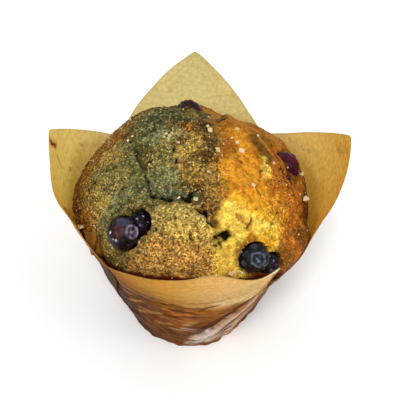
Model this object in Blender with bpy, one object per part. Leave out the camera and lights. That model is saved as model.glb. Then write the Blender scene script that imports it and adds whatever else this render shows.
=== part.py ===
"""Blueberry muffin in a brown tulip paper case.

Metres, +Z up. The origin is the centre of the flat base the case stands on.
The case is one square sheet pressed round a cup: four tall corner flaps with
a pleat between each pair. The muffin fills the cup and domes over its lip,
and four whole berries sit in pockets of the crust.
"""
import math

import bmesh
import bpy
import numpy as np

MM = 0.001

# ---- paper case -----------------------------------------------------------
PAPER = 0.5                 # wall of the case as one solid layer
PLEAT = 0.42                # how far a folded pleat stands off the next panel
BASE_RADIUS = 25.3
# outer radius of the cup at a few heights, from the base to the flap tips
CUP_HEIGHTS = (0.0, 25.0, 45.0, 52.0, 57.0, 64.0, 72.0, 84.0)
CUP_RADII = (25.3, 32.5, 39.0, 41.2, 42.6, 44.6, 46.2, 46.8)
CONE_TOP = 42.0             # the pleats run slanted below this, upright above
# the four flaps: direction of the tip, its height, how far it leans out,
# and how flat the flap is pressed across
FLAPS = {
    "right": dict(tip=0.5, height=80.5, lean=4.4, flat=0.35),
    "back": dict(tip=88.6, height=82.0, lean=0.8, flat=0.25),
    "left": dict(tip=180.0, height=83.5, lean=-1.5, flat=0.12),
    "front": dict(tip=276.0, height=78.5, lean=8.6, flat=0.20),
}
# the four folds: direction at the base and at the lip
FOLDS = {
    "front_right": (-97.0, -49.0),
    "back_right": (8.0, 49.5),
    "back_left": (92.0, 132.5),
    "front_left": (200.0, 228.0),
}
# each panel: fold it starts at, fold it ends at, height of the top edge at
# both ends, and the power the edge falls away from the tip with
PANELS = {
    "right": ("front_right", "back_right", 45.5, 55.6, 1.05, 1.32),
    "back": ("back_right", "back_left", 54.8, 53.5, 1.30, 1.12),
    "left": ("back_left", "front_left", 55.2, 55.0, 1.07, 1.25),
    "front": ("front_left", "front_right", 56.5, 56.5, 0.76, 1.00),
}
PANEL_COLUMNS = 16
WALL_ROWS = (0.9, 6.0, 12.0, 19.0, 26.0, 34.0, 42.0)
FLAP_ROWS = (0.14, 0.32, 0.5, 0.68, 0.85, 1.0)

# the muffin presses the cup outwards in the open notch between two flaps
BULGE = dict(direction=322.0, half_angle=34.0, low=34.0, high=66.0, swell=1.7)

# ---- muffin ---------------------------------------------------------------
CLEAR = 0.35                # free space kept between neighbours
LIP_RADIUS = 39.8
LIP_HEIGHT = 54.0
DOME_RISE = 28.0
DOME_POWER = 0.9            # roundness of the dome's shoulder
SLUMP = 4.8                 # how much lower the dome is on its right side
NECK_DEPTH = 1.1            # crease under the overhanging lip
MUFFIN_COLUMNS = 76

# soft swellings of the crust: x, y, height, width
SWELLS = (
    (-12.0, 8.0, 1.2, 9.0),
    (-29.0, 16.0, -2.6, 14.0),
    (-6.0, 32.0, -1.2, 10.0),
    (15.0, 28.0, -3.0, 11.0),
    (11.5, 19.0, 1.0, 3.4),
    (17.0, -8.0, 0.8, 8.0),
    (9.0, -30.5, 1.0, 5.0),
    (-26.0, -8.0, 0.7, 8.0),
    (2.0, -14.0, 0.7, 7.0),
    (26.0, 10.0, 0.9, 7.0),
    (-8.0, -33.0, 0.6, 6.0),
)
# cracks of the crust: corner points, depth, half width
CRACKS = (
    (((-18.0, -4.0), (-15.0, -11.0), (-13.0, -19.0), (-8.0, -23.5), (1.5, -25.8), (6.0, -29.5)), 1.5, 1.9),
    (((10.5, 22.0), (9.0, 13.0), (10.5, 0.0), (9.5, -12.0)), 1.0, 1.6),
)

# ---- berries: centre and radius; two have burst on one side ---------------
BERRIES = {
    "berry_front_left": dict(centre=(-20.1, -28.7, 66.5), radius=5.3,
                             burst=(-15.4, -27.2, 69.0), burst_radius=4.1),
    "berry_front_right": dict(centre=(18.9, -32.7, 60.3), radius=4.7,
                              burst=(22.1, -30.2, 57.9), burst_radius=4.0),
    "berry_back": dict(centre=(-1.5, 20.6, 75.0), radius=4.9),
    "berry_right": dict(centre=(31.8, 2.2, 66.0), radius=5.0),
}


def soft_step(low, high, value):
    """Smooth rise from 0 at low to 1 at high."""
    t = np.clip((np.asarray(value, float) - low) / (high - low), 0.0, 1.0)
    return t * t * (3.0 - 2.0 * t)


def turn(angle):
    """Angle in degrees brought between -180 and 180."""
    return (np.asarray(angle, float) + 180.0) % 360.0 - 180.0


def cup_radius(z):
    """Smooth curve of outer radius through the named cup heights."""
    heights = np.array(CUP_HEIGHTS)
    radii = np.array(CUP_RADII)
    slopes = np.gradient(radii, heights)
    i = np.clip(np.searchsorted(heights, z) - 1, 0, len(heights) - 2)
    step = heights[i + 1] - heights[i]
    t = (z - heights[i]) / step
    start = (1 + 2 * t) * (1 - t) ** 2 * radii[i] + t * (1 - t) ** 2 * step * slopes[i]
    end = t * t * (3 - 2 * t) * radii[i + 1] + t * t * (t - 1) * step * slopes[i + 1]
    return start + end


def bulge(z, angle):
    """Outward swelling of cup and muffin beside the open notch."""
    off = np.abs(turn(angle - BULGE["direction"])) / BULGE["half_angle"]
    round_part = np.cos(np.clip(off, 0.0, 1.0) * math.pi / 2) ** 2
    middle = (BULGE["low"] + BULGE["high"]) / 2
    reach = (BULGE["high"] - BULGE["low"]) / 2
    tall_part = np.cos(np.clip(np.abs(z - middle) / reach, 0.0, 1.0) * math.pi / 2) ** 2
    return BULGE["swell"] * round_part * tall_part


def wall_radius(z, angle):
    """Outer radius of the case at height z and direction angle (degrees)."""
    radius = cup_radius(z) + bulge(z, angle)
    away = np.full(np.shape(angle), 180.0)
    flat = np.zeros(np.shape(angle))
    for flap in FLAPS.values():
        off = np.abs(turn(angle - flap["tip"]))
        petal = np.cos(np.clip(off / 55.0, 0.0, 1.0) * math.pi / 2) ** 2
        radius = radius + flap["lean"] * petal * soft_step(46.0, flap["height"], z)
        flat = np.where(off < away, flap["flat"], flat)
        away = np.minimum(off, away)
    pressed = 1.0 / np.cos(np.radians(np.minimum(away, 50.0))) - 1.0
    return radius * (1.0 + flat * soft_step(52.0, 80.0, z) * pressed)


def fold_angle(name, z):
    """Direction of a pleat's fold line at height z."""
    low, high = FOLDS[name]
    return high - (high - low) * (1.0 - np.minimum(z, CONE_TOP) / CONE_TOP)


def panel_edge(name, angle):
    """Height of a panel's top edge: the tip, falling to both folds."""
    first, last, low, high, fall_low, fall_high = PANELS[name]
    tip = FLAPS[name]["tip"]
    height = FLAPS[name]["height"]
    start = tip - abs(turn(tip - FOLDS[first][1]))
    end = tip + abs(turn(FOLDS[last][1] - tip))
    before = np.clip((tip - angle) / (tip - start), 0.0, 1.0)
    after = np.clip((angle - tip) / (end - tip), 0.0, 1.0)
    rise_low = low + (height - low) * (1.0 - before) ** fall_low
    rise_high = high + (height - high) * (1.0 - after) ** fall_high
    return np.where(angle < tip, rise_low, rise_high)


def case_columns():
    """Outer points (columns, rows, 3) and outward pleat step of every column."""
    outer = []
    for name, (first, last, low, high, fall_low, fall_high) in PANELS.items():
        share = np.linspace(0.0, 1.0, PANEL_COLUMNS)
        inset = 0.35
        top_start = fold_angle(first, CONE_TOP)
        top_end = fold_angle(last, CONE_TOP)
        top_end = top_start + (top_end - top_start) % 360.0
        tip = FLAPS[name]["tip"]
        tip = top_start + (tip - top_start) % 360.0
        column_tip = np.argmin(np.abs(top_start + (top_end - top_start) * share - tip))
        share[column_tip] = (tip - top_start) / (top_end - top_start)
        top_angle = top_start + inset + (top_end - top_start - 2 * inset) * share
        shift = tip - FLAPS[name]["tip"]
        edge = panel_edge(name, top_angle - shift)
        for k, part in enumerate(share):
            rows = list(WALL_ROWS)
            rows += [CONE_TOP + (edge[k] - CONE_TOP) * f for f in FLAP_ROWS]
            z = np.array(rows)
            start = fold_angle(first, z)
            end = start + (fold_angle(last, z) - start) % 360.0
            angle = start + inset + (end - start - 2 * inset) * part
            stand = PLEAT * soft_step(0.5, 0.68, part) * soft_step(2.0, 10.0, z)
            radius = wall_radius(z, angle)
            outer.append((angle, radius, radius + stand, z))
    return outer


def add_mesh(name, points, faces, colour, roughness, smooth):
    """Make a closed mesh object with its own material."""
    mesh = bpy.data.meshes.new(name)
    mesh.from_pydata([tuple(p * MM for p in point) for point in points], [], faces)
    mesh.validate()
    work = bmesh.new()
    work.from_mesh(mesh)
    bmesh.ops.recalc_face_normals(work, faces=work.faces)
    work.to_mesh(mesh)
    work.free()
    for polygon in mesh.polygons:
        polygon.use_smooth = smooth
    material = bpy.data.materials.new(name)
    material.use_nodes = True
    shader = material.node_tree.nodes["Principled BSDF"]
    shader.inputs["Base Color"].default_value = (*colour, 1.0)
    shader.inputs["Roughness"].default_value = roughness
    shader.inputs["Metallic"].default_value = 0.0
    mesh.materials.append(material)
    thing = bpy.data.objects.new(name, mesh)
    bpy.context.collection.objects.link(thing)
    return thing


def make_case():
    """Closed shell: outer wall, inner wall, top edge, and both base discs."""
    columns = case_columns()
    count = len(columns)
    rows = len(columns[0][3])
    points = []
    for side in ("outer", "inner"):
        for angle, plain, pleated, z in columns:
            radius = pleated if side == "outer" else plain - PAPER
            a = np.radians(angle)
            points += list(zip(radius * np.cos(a), radius * np.sin(a), z))
    inner = count * rows

    def at(side, column, row):
        return side * inner + (column % count) * rows + row

    faces = []
    for c in range(count):
        for r in range(rows - 1):
            faces.append((at(0, c, r), at(0, c + 1, r), at(0, c + 1, r + 1), at(0, c, r + 1)))
            faces.append((at(1, c, r), at(1, c, r + 1), at(1, c + 1, r + 1), at(1, c + 1, r)))
        faces.append((at(0, c, rows - 1), at(0, c + 1, rows - 1),
                      at(1, c + 1, rows - 1), at(1, c, rows - 1)))
    # the rounded foot: a flat ring on the table just inside the wall
    foot = len(points)
    for angle, plain, pleated, z in columns:
        a = math.radians(float(angle[0]))
        points.append(((BASE_RADIUS - 0.7) * math.cos(a), (BASE_RADIUS - 0.7) * math.sin(a), 0.0))
    floor = len(points)
    for angle, plain, pleated, z in columns:
        a = math.radians(float(angle[0]))
        points.append(((BASE_RADIUS - 1.3) * math.cos(a), (BASE_RADIUS - 1.3) * math.sin(a), PAPER))
    under = len(points)
    points.append((0.0, 0.0, 0.0))
    points.append((0.0, 0.0, PAPER))
    for c in range(count):
        n = (c + 1) % count
        faces.append((at(0, c, 0), foot + c, foot + n, at(0, n, 0)))
        faces.append((foot + c, under, foot + n))
        faces.append((at(1, c, 0), at(1, n, 0), floor + n, floor + c))
        faces.append((floor + c, floor + n, under + 1))
    return add_mesh("paper_case", points, faces, (0.60, 0.40, 0.16), 0.62, True)


def crack_depth(x, y):
    """Depth of the cracks at a place of the dome, as seen from above."""
    depth = np.zeros(np.shape(x))
    for corners, deep, half in CRACKS:
        near = np.full(np.shape(x), 1e9)
        for (x0, y0), (x1, y1) in zip(corners[:-1], corners[1:]):
            length = (x1 - x0) ** 2 + (y1 - y0) ** 2
            t = np.clip(((x - x0) * (x1 - x0) + (y - y0) * (y1 - y0)) / length, 0.0, 1.0)
            near = np.minimum(near, np.hypot(x - x0 - t * (x1 - x0), y - y0 - t * (y1 - y0)))
        depth = depth + deep * np.exp(-((near / half) ** 2))
    return depth


def crust_offset(x, y):
    """How far the crust stands above (or below) the smooth dome."""
    swell = np.zeros(np.shape(x))
    for sx, sy, high, wide in SWELLS:
        swell = swell + high * np.exp(-((x - sx) ** 2 + (y - sy) ** 2) / wide ** 2)
    ripple = 0.35 * np.sin(x * 0.31 + 1.3) * np.sin(y * 0.27 + 0.4)
    return swell + ripple - crack_depth(x, y)


def make_muffin():
    """Solid of turned rings: flat bottom, cone in the cup, neck, lip, dome."""
    angle = np.linspace(0.0, 2.0 * math.pi, MUFFIN_COLUMNS, endpoint=False)
    degrees = np.degrees(angle)
    floor = PAPER + CLEAR
    rings = []
    for z in (floor, floor + 1.2, 12.0, 24.0, 34.0, 42.0):
        plain = cup_radius(np.full(MUFFIN_COLUMNS, z)) + bulge(z, degrees) - PAPER - CLEAR - 0.15
        radius = plain - (1.5 if z == floor else 0.0)
        rings.append((radius * np.cos(angle), radius * np.sin(angle), np.full(MUFFIN_COLUMNS, z)))
    wobble = 0.35 * np.sin(3 * angle + 0.6) + 0.25 * np.sin(7 * angle + 2.0)
    for z, inset in ((46.0, 0.55), (48.6, NECK_DEPTH + 0.75), (50.6, 0.9)):
        radius = np.minimum(LIP_RADIUS, cup_radius(np.full(MUFFIN_COLUMNS, z)) - 0.85) - inset
        radius = radius + bulge(z, degrees)
        height = z + wobble
        rings.append((radius * np.cos(angle), radius * np.sin(angle), height))
    for beta in (-4.0, 5.0, 14.0, 23.0, 32.0, 41.0, 50.0, 58.0, 66.0, 74.0, 82.0):
        b = math.radians(beta)
        radius = LIP_RADIUS * math.cos(b) ** DOME_POWER + bulge(LIP_HEIGHT + 8 * b, degrees)
        x = radius * np.cos(angle)
        y = radius * np.sin(angle)
        low = soft_step(-8.0, 36.0, (x - 2.6) * 0.8 + y * 0.45)
        up = max(math.sin(b), 0.0)
        z = LIP_HEIGHT + DOME_RISE * math.sin(b) - SLUMP * low * up ** 0.8 + wobble * (1.0 - up)
        push = crust_offset(x, y) * soft_step(0.0, 0.35, up)
        side = math.cos(b)
        rings.append((x * (1.0 + push * side / LIP_RADIUS), y * (1.0 + push * side / LIP_RADIUS),
                      z + push * up))
    points = []
    for x, y, z in rings:
        points += list(zip(x, y, z))
    n = MUFFIN_COLUMNS
    faces = []
    for r in range(len(rings) - 1):
        for c in range(n):
            d = (c + 1) % n
            faces.append((r * n + c, r * n + d, (r + 1) * n + d, (r + 1) * n + c))
    low_centre = len(points)
    points.append((0.0, 0.0, floor))
    top_offset = float(crust_offset(np.array(0.0), np.array(0.0)))
    low = float(soft_step(-8.0, 36.0, -2.6 * 0.8))
    points.append((0.0, 0.0, LIP_HEIGHT + DOME_RISE - SLUMP * low + top_offset))
    last = (len(rings) - 1) * n
    for c in range(n):
        d = (c + 1) % n
        faces.append((c, low_centre, d))
        faces.append((last + c, last + d, low_centre + 1))
    return add_mesh("muffin", points, faces, (0.46, 0.28, 0.07), 0.7, True)


def ball(name, centre, radius, spare, rings=9, columns=16):
    """Slightly flattened ball with its pole leaning away from the muffin's axis."""
    lean = np.array((centre[0], centre[1], 42.0), float)
    pole = lean / np.linalg.norm(lean)
    side = np.cross(pole, (0.0, 0.0, 1.0))
    side = side / np.linalg.norm(side)
    across = np.cross(pole, side)
    middle = np.array(centre, float)
    size = radius + spare
    points = [tuple(middle - pole * size * 0.93)]
    for r in range(1, rings):
        v = -math.pi / 2 + math.pi * r / rings
        for c in range(columns):
            u = 2 * math.pi * c / columns
            step = size * math.cos(v)
            place = middle + pole * size * 0.93 * math.sin(v)
            place = place + side * step * math.cos(u) + across * step * math.sin(u)
            points.append(tuple(place))
    points.append(tuple(middle + pole * size * 0.93))
    faces = []
    for c in range(columns):
        d = (c + 1) % columns
        faces.append((0, 1 + d, 1 + c))
        for r in range(rings - 2):
            a = 1 + r * columns
            b = a + columns
            faces.append((a + c, a + d, b + d, b + c))
        top = 1 + (rings - 2) * columns
        faces.append((top + c, top + d, len(points) - 1))
    return add_mesh(name, points, faces, (0.03, 0.03, 0.07), 0.4, True)


def combine(target, tool, operation):
    """Boolean of two closed meshes, kept as a live modifier."""
    modifier = target.modifiers.new(operation.title() + "_" + tool.name, "BOOLEAN")
    modifier.operation = operation
    modifier.solver = "EXACT"
    modifier.object = tool
    tool.hide_render = True
    tool.display_type = "WIRE"


for old in list(bpy.data.objects):
    bpy.data.objects.remove(old, do_unlink=True)

make_case()
muffin = make_muffin()
for berry_name, berry in BERRIES.items():
    whole = ball(berry_name, berry["centre"], berry["radius"], 0.0)
    pocket = ball(berry_name + "_pocket", berry["centre"], berry["radius"], CLEAR)
    combine(muffin, pocket, "DIFFERENCE")
    if "burst" in berry:
        middle = berry["burst"]
        size = berry["burst_radius"]
        torn = ball(berry_name + "_torn", middle, size, 0.0, 8, 14)
        combine(whole, torn, "UNION")
        torn_pocket = ball(berry_name + "_torn_pocket", middle, size, CLEAR, 8, 14)
        combine(muffin, torn_pocket, "DIFFERENCE")
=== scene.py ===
# %% [markdown]
# # A blueberry muffin in a tulip paper case
# A coffee-shop muffin is baked in a square of brown baking paper that was pressed
# round a cup, so four corners of the sheet stand up round the dome as flaps. The
# solids of the muffin, the case and four berries come packed as a fixed frame.
# This file gives them the crust, the paper and the berry skin that the eye sees.

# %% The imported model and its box
import math
import bpy
import numpy as np
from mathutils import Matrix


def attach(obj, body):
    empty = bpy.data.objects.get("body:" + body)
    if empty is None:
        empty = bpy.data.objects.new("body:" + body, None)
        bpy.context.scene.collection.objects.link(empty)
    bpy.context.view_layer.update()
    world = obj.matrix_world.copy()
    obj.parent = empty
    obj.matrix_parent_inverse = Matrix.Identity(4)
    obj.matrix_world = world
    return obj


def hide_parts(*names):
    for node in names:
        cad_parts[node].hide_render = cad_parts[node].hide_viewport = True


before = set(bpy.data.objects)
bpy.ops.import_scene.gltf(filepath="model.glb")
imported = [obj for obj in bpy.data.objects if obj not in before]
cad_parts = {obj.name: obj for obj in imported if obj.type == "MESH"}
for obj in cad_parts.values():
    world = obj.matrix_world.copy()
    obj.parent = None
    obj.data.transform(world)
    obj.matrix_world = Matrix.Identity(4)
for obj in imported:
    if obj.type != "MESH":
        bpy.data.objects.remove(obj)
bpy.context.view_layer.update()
MM = 0.001
print("nodes of the frame:", sorted(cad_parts))

# %% [markdown]
# ## Camera
# The camera looks down at 45 degrees, as one looks at a muffin on a table, from
# a quarter of a metre. A long lens keeps the case from flaring at the top. It could
# be aimed by hand in the viewport, but set in numbers it is the same in every run.

# %% Camera
EYE = (2.8, -176.78, 229.28)      # mm
LOOK_DOWN = 45.0                  # degrees
LENS = 64.71                      # mm, before a sensor 36 mm wide
MIDDLE_HEIGHT = 52.5              # height in mm that the eye looks at
camera_data = bpy.data.cameras.new("camera")
camera_data.sensor_width = 36.0
camera_data.lens = LENS
camera_data.clip_start = 0.01
camera = bpy.data.objects.new("camera", camera_data)
camera.location = [part * MM for part in EYE]
camera.rotation_euler = (math.radians(LOOK_DOWN), 0.0, 0.0)
bpy.context.collection.objects.link(camera)
bpy.context.scene.camera = camera
print("camera distance in mm:", round(math.hypot(EYE[1], EYE[2] - MIDDLE_HEIGHT)))

# %% [markdown]
# ## Soft steps
# Nothing on a muffin starts or stops sharply, so every place on it is chosen with
# a smooth curve: a step between two limits, a window made of two steps, or a bell.
# Masks painted by hand would do too, but a curve is moved by changing a number.


# %% Soft step, window, bell and turn
def soft_step(low, high, value):
    """Smooth rise from 0 at low to 1 at high: 3 t squared minus 2 t cubed."""
    t = np.clip((np.asarray(value, float) - low) / (high - low), 0.0, 1.0)
    return t * t * (3.0 - 2.0 * t)


def window(value, start, full, fade, end):
    """Share that rises from 0 at start to 1 at full, and falls from 1 at fade to 0
    at end: the product of two soft steps."""
    return soft_step(start, full, value) * soft_step(end, fade, value)


def bell(off, half):
    """Bell curve of an offset: 1 at the middle and 0.37 at the half width."""
    return np.exp(-((off / half) ** 2))


def turn(angle):
    """Angle in degrees brought between -180 and 180."""
    return (np.asarray(angle, float) + 180.0) % 360.0 - 180.0


print("350 degrees is the same as", float(turn(350.0)))

# %% [markdown]
# ## The form that the frame gives
# The muffin fills a cone that opens towards the lip, swells over it and rises to
# a dome that leans a little. The new crust has to sit where the solid sits, so
# the same named sizes are repeated here: first the cup, then its four flaps. The
# solid's mesh could be traced instead, but a formula gives a size at any point.

# %% Sizes of the cup and its flaps, in mm and degrees
PLEAT = 0.42                    # how far a pleat stands out
CUP_HEIGHTS = np.array([0.0, 25.0, 45.0, 52.0, 57.0, 64.0, 72.0, 84.0])
CUP_RADII = np.array([25.3, 32.5, 39.0, 41.2, 42.6, 44.6, 46.2, 46.8])
CONE_TOP = 42.0
# flaps: direction of the tip, its height, how far it leans out, how flat it is pressed
FLAPS = {
    "right": dict(tip=0.5, height=80.5, lean=4.4, flat=0.35),
    "back": dict(tip=88.6, height=82.0, lean=0.8, flat=0.25),
    "left": dict(tip=180.0, height=83.5, lean=-1.5, flat=0.12),
    "front": dict(tip=276.0, height=78.5, lean=8.6, flat=0.20),
}
# folds: direction of each fold line at the base and at the cone's top
FOLDS = {
    "front_right": (-97.0, -49.0),
    "back_right": (8.0, 49.5),
    "back_left": (92.0, 132.5),
    "front_left": (200.0, 228.0),
}
# panels: the fold on each side, the edge's height there, and the power of its fall
PANELS = {
    "right": ("front_right", "back_right", 45.5, 55.6, 1.05, 1.32),
    "back": ("back_right", "back_left", 54.8, 53.5, 1.30, 1.12),
    "left": ("back_left", "front_left", 55.2, 55.0, 1.07, 1.25),
    "front": ("front_left", "front_right", 56.5, 56.5, 0.76, 1.00),
}
BULGE = dict(direction=322.0, half_angle=34.0, low=34.0, high=66.0, swell=1.7)
PETAL = 55.0                    # half angle over which a flap leans out
LEAN_FROM = 46.0                # height where the lean starts
PRESSED = 50.0                  # half angle over which a flap is pressed flat
FLAT_FROM, FLAT_FULL = 52.0, 80.0
print("the cup has", len(FLAPS), "flaps and", len(FOLDS), "pleats")


# %% Radius of the cup and its flaps
def cup_radius(z):
    """Smooth curve of outer radius through the named cup heights (cubic Hermite
    pieces whose slopes are the central differences)."""
    slopes = np.gradient(CUP_RADII, CUP_HEIGHTS)
    i = np.clip(np.searchsorted(CUP_HEIGHTS, z) - 1, 0, len(CUP_HEIGHTS) - 2)
    step = CUP_HEIGHTS[i + 1] - CUP_HEIGHTS[i]
    t = (z - CUP_HEIGHTS[i]) / step
    start = (1 + 2 * t) * (1 - t) ** 2 * CUP_RADII[i] + t * (1 - t) ** 2 * step * slopes[i]
    end = t * t * (3 - 2 * t) * CUP_RADII[i + 1] + t * t * (t - 1) * step * slopes[i + 1]
    return start + end


def bulge(z, angle):
    """Outward swelling beside the open notch: squared cosines of the angle off
    its middle and of the height off its middle."""
    off = np.abs(turn(angle - BULGE["direction"])) / BULGE["half_angle"]
    middle = (BULGE["low"] + BULGE["high"]) / 2
    reach = (BULGE["high"] - BULGE["low"]) / 2
    tall = np.clip(np.abs(z - middle) / reach, 0.0, 1.0)
    round_part = np.cos(np.clip(off, 0.0, 1.0) * math.pi / 2) ** 2
    return BULGE["swell"] * round_part * np.cos(tall * math.pi / 2) ** 2


def wall_radius(z, angle):
    """Outer radius of the case: the cup, each flap's lean as a squared cosine
    about its tip, and the flap pressed flat by one over the cosine."""
    radius = cup_radius(z) + bulge(z, angle)
    away = np.full(np.shape(angle), 180.0)
    flat = np.zeros(np.shape(angle))
    for flap in FLAPS.values():
        off = np.abs(turn(angle - flap["tip"]))
        petal = np.cos(np.clip(off / PETAL, 0.0, 1.0) * math.pi / 2) ** 2
        radius = radius + flap["lean"] * petal * soft_step(LEAN_FROM, flap["height"], z)
        flat = np.where(off < away, flap["flat"], flat)
        away = np.minimum(off, away)
    pressed = 1.0 / np.cos(np.radians(np.minimum(away, PRESSED))) - 1.0
    return radius * (1.0 + flat * soft_step(FLAT_FROM, FLAT_FULL, z) * pressed)


LIP_HEIGHT = 54.0
print("cup radius at the lip:", round(float(cup_radius(np.array(LIP_HEIGHT))), 2), "mm")

# %% Sizes of the muffin and its berries, in mm
LIP_RADIUS = 39.8
DOME_RISE = 28.0
DOME_POWER = 0.9
SLUMP = 4.8                # how much lower the dome is at the back right
SLUMP_WAY = (0.8, 0.45)    # towards which it falls, in plan
SLUMP_START = 2.6
# swellings: place in plan, height and width; a crack: its path, depth and half width
SWELLS = (
    (-12.0, 8.0, 1.2, 9.0), (-29.0, 16.0, -2.6, 14.0), (-6.0, 32.0, -1.2, 10.0),
    (15.0, 28.0, -3.0, 11.0), (11.5, 19.5, 1.5, 3.0), (17.0, -8.0, 0.8, 8.0),
    (9.0, -30.5, 1.0, 5.0), (-26.0, -8.0, 0.7, 8.0), (2.0, -14.0, 0.7, 7.0),
    (26.0, 10.0, 0.9, 7.0), (-8.0, -33.0, 0.6, 6.0),
)
WIDE_CRACKS = (
    (((-18.0, -4.0), (-15.0, -11.0), (-13.0, -19.0), (-8.0, -23.5), (1.5, -25.8), (6.0, -29.5)), 0.9, 1.9),
    (((10.5, 22.0), (9.0, 13.0), (10.5, 0.0), (9.5, -12.0)), 1.0, 1.6),
)
BERRIES = {
    "berry_front_left": dict(centre=(-20.5, -28.9, 66.9), radius=5.2,
                             burst=(-14.9, -26.3, 68.6), burst_radius=3.9),
    "berry_front_right": dict(centre=(19.3, -33.0, 60.6), radius=4.75,
                              burst=(23.9, -31.0, 56.3), burst_radius=3.6),
    "berry_back": dict(centre=(-1.1, 20.6, 74.1), radius=4.7, covered=(0.1, 1.0)),
    "berry_right": dict(centre=(31.3, 2.4, 65.9), radius=4.9, covered=(0.8, 0.6)),
}
print("the muffin has", len(SWELLS), "swellings and", len(BERRIES), "berries")


# %% Distance to a path, and the swellings
def path_distance(x, y, corners):
    """Distance in plan to a path of straight stretches: on each one the foot of the
    point is held between its ends, and the nearest foot counts."""
    near = np.full(np.shape(x), 1e9)
    for (x0, y0), (x1, y1) in zip(corners[:-1], corners[1:]):
        length = (x1 - x0) ** 2 + (y1 - y0) ** 2
        t = np.clip(((x - x0) * (x1 - x0) + (y - y0) * (y1 - y0)) / length, 0.0, 1.0)
        near = np.minimum(near, np.hypot(x - x0 - t * (x1 - x0), y - y0 - t * (y1 - y0)))
    return near


def crust_offset(x, y):
    """Height of shallow waves of 0.35 mm and of the swellings, each a bell curve
    given by its place, height and width, less the two wide cracks, each a path
    with a depth and a half width."""
    swell = 0.35 * np.sin(x * 0.31 + 1.3) * np.sin(y * 0.27 + 0.4)
    for sx, sy, high, wide in SWELLS:
        swell = swell + high * np.exp(-((x - sx) ** 2 + (y - sy) ** 2) / wide ** 2)
    for corners, depth, half in WIDE_CRACKS:
        swell = swell - depth * bell(path_distance(x, y, corners), half)
    return swell


middle_swell = float(crust_offset(np.zeros(1), np.zeros(1))[0])
print("height of the swellings at the middle:", round(middle_swell, 2), "mm")

# %% [markdown]
# ## The crust as a grid
# The crust is one closed skin: rows run up the side inside the case, over the lip
# and up the dome, and columns run round it. The rows are spaced evenly along the
# surface, a third of a millimetre apart, so that a single crumb can be shaped.
# The solid could be divided and displaced instead, but its faces are uneven, and
# on a grid every point knows its neighbours and the way outwards.

# %% Profile of the muffin's side and dome
COLUMNS = 560
DOME_ROWS = 150
FOOT = 0.85           # height of the muffin's flat underside, on the floor of the case
CRUST_GAP = 1.0       # how far the crumb stays inside the outer face of the case
LIP_GAP = 0.85        # the same near the lip
UNDER_LIP = 4.0       # degrees below the lip where the dome's curve starts
column_angle = np.linspace(0.0, 2.0 * math.pi, COLUMNS, endpoint=False)

side_z = np.concatenate([[FOOT, 1.4, 2.05], np.linspace(8.0, 40.0, 5), np.linspace(42.0, 51.6, 14)])
known_z = np.array([FOOT, 2.05, 12.0, 24.0, 34.0, 42.0, 46.0, 48.6, 50.6, 52.05])
known_r = cup_radius(known_z) - CRUST_GAP
# the foot's edge is rounded, and a waist lies under the lip
known_r[0] -= 1.5
known_r[6:9] = np.minimum(LIP_RADIUS, cup_radius(known_z[6:9]) - LIP_GAP) - np.array([0.55, 1.85, 0.9])
known_r[9] = LIP_RADIUS * math.cos(math.radians(UNDER_LIP)) ** DOME_POWER
side_r = np.interp(side_z, known_z, known_r)

fine = np.radians(np.linspace(-UNDER_LIP, 89.5, 2000))
fine_r = LIP_RADIUS * np.cos(fine) ** DOME_POWER
fine_z = LIP_HEIGHT + DOME_RISE * np.sin(fine)
walked = np.concatenate([[0.0], np.cumsum(np.hypot(np.diff(fine_r), np.diff(fine_z)))])
beta = np.interp(np.linspace(0.0, walked[-1], DOME_ROWS), walked, fine)
print("dome rows are", round(walked[-1] / DOME_ROWS, 2), "mm apart")


# %% Smooth grid of the muffin
def smooth_muffin():
    """Grid of points and outward directions of the smooth muffin. Dome: radius is
    the lip radius times cosine to a power, height the rise times sine, less the
    slump, and the swellings push it out along cosine and up along sine."""
    a = column_angle[None, :]
    degrees = np.degrees(a)
    wobble = 0.35 * np.sin(3 * a + 0.6) + 0.25 * np.sin(7 * a + 2.0)
    rise = soft_step(42.0, 46.0, side_z)[:, None]
    radius = side_r[:, None] + bulge(side_z[:, None], degrees)
    side = np.stack([radius * np.cos(a), radius * np.sin(a), side_z[:, None] + wobble * rise])
    b = beta[:, None]
    up = np.maximum(np.sin(b), 0.0)
    radius = LIP_RADIUS * np.cos(b) ** DOME_POWER + bulge(LIP_HEIGHT + 8.0 * b, degrees)
    x = radius * np.cos(a)
    y = radius * np.sin(a)
    low = soft_step(-8.0, 36.0, (x - SLUMP_START) * SLUMP_WAY[0] + y * SLUMP_WAY[1])
    z = LIP_HEIGHT + DOME_RISE * np.sin(b) - SLUMP * low * up ** 0.8 + wobble * (1.0 - up)
    push = crust_offset(x, y) * soft_step(0.0, 0.35, up)
    lean = 1.0 + push * np.cos(b) / LIP_RADIUS
    dome = np.stack([x * lean, y * lean, z + push * up])
    steep = np.concatenate([np.zeros(len(side_z)), np.clip(beta, 0.0, None)])[:, None]
    outward = DOME_RISE * np.cos(steep)
    upward = LIP_RADIUS * np.sin(steep)
    long = np.hypot(outward, upward)
    facing = np.stack([outward / long * np.cos(a), outward / long * np.sin(a),
                       upward / long + 0.0 * a])
    return np.concatenate([side, dome], 1), facing


(crust_x, crust_y, crust_z), crust_facing = smooth_muffin()
print("muffin grid:", crust_x.shape, "top at", round(float(crust_z.max()), 1), "mm")

# %% [markdown]
# ## Colours
# Colours are written as the hex values a painter would pick on a screen. Blender
# mixes light in linear values, so one function turns every hex value to linear.


# %% Hex to linear
def paint(code):
    """Linear colour of an sRGB hex code: each part is divided by 12.92 where it
    is dark, and otherwise moved by 0.055, scaled and raised to the power 2.4."""
    parts = np.array([int(code[i:i + 2], 16) for i in (1, 3, 5)]) / 255.0
    linear = np.where(parts <= 0.04045, parts / 12.92, ((parts + 0.055) / 1.055) ** 2.4)
    return (*linear.tolist(), 1.0)


def tone(code):
    """The same linear colour as an array of three, for sums over many points."""
    return np.array(paint(code)[:3])


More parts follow.
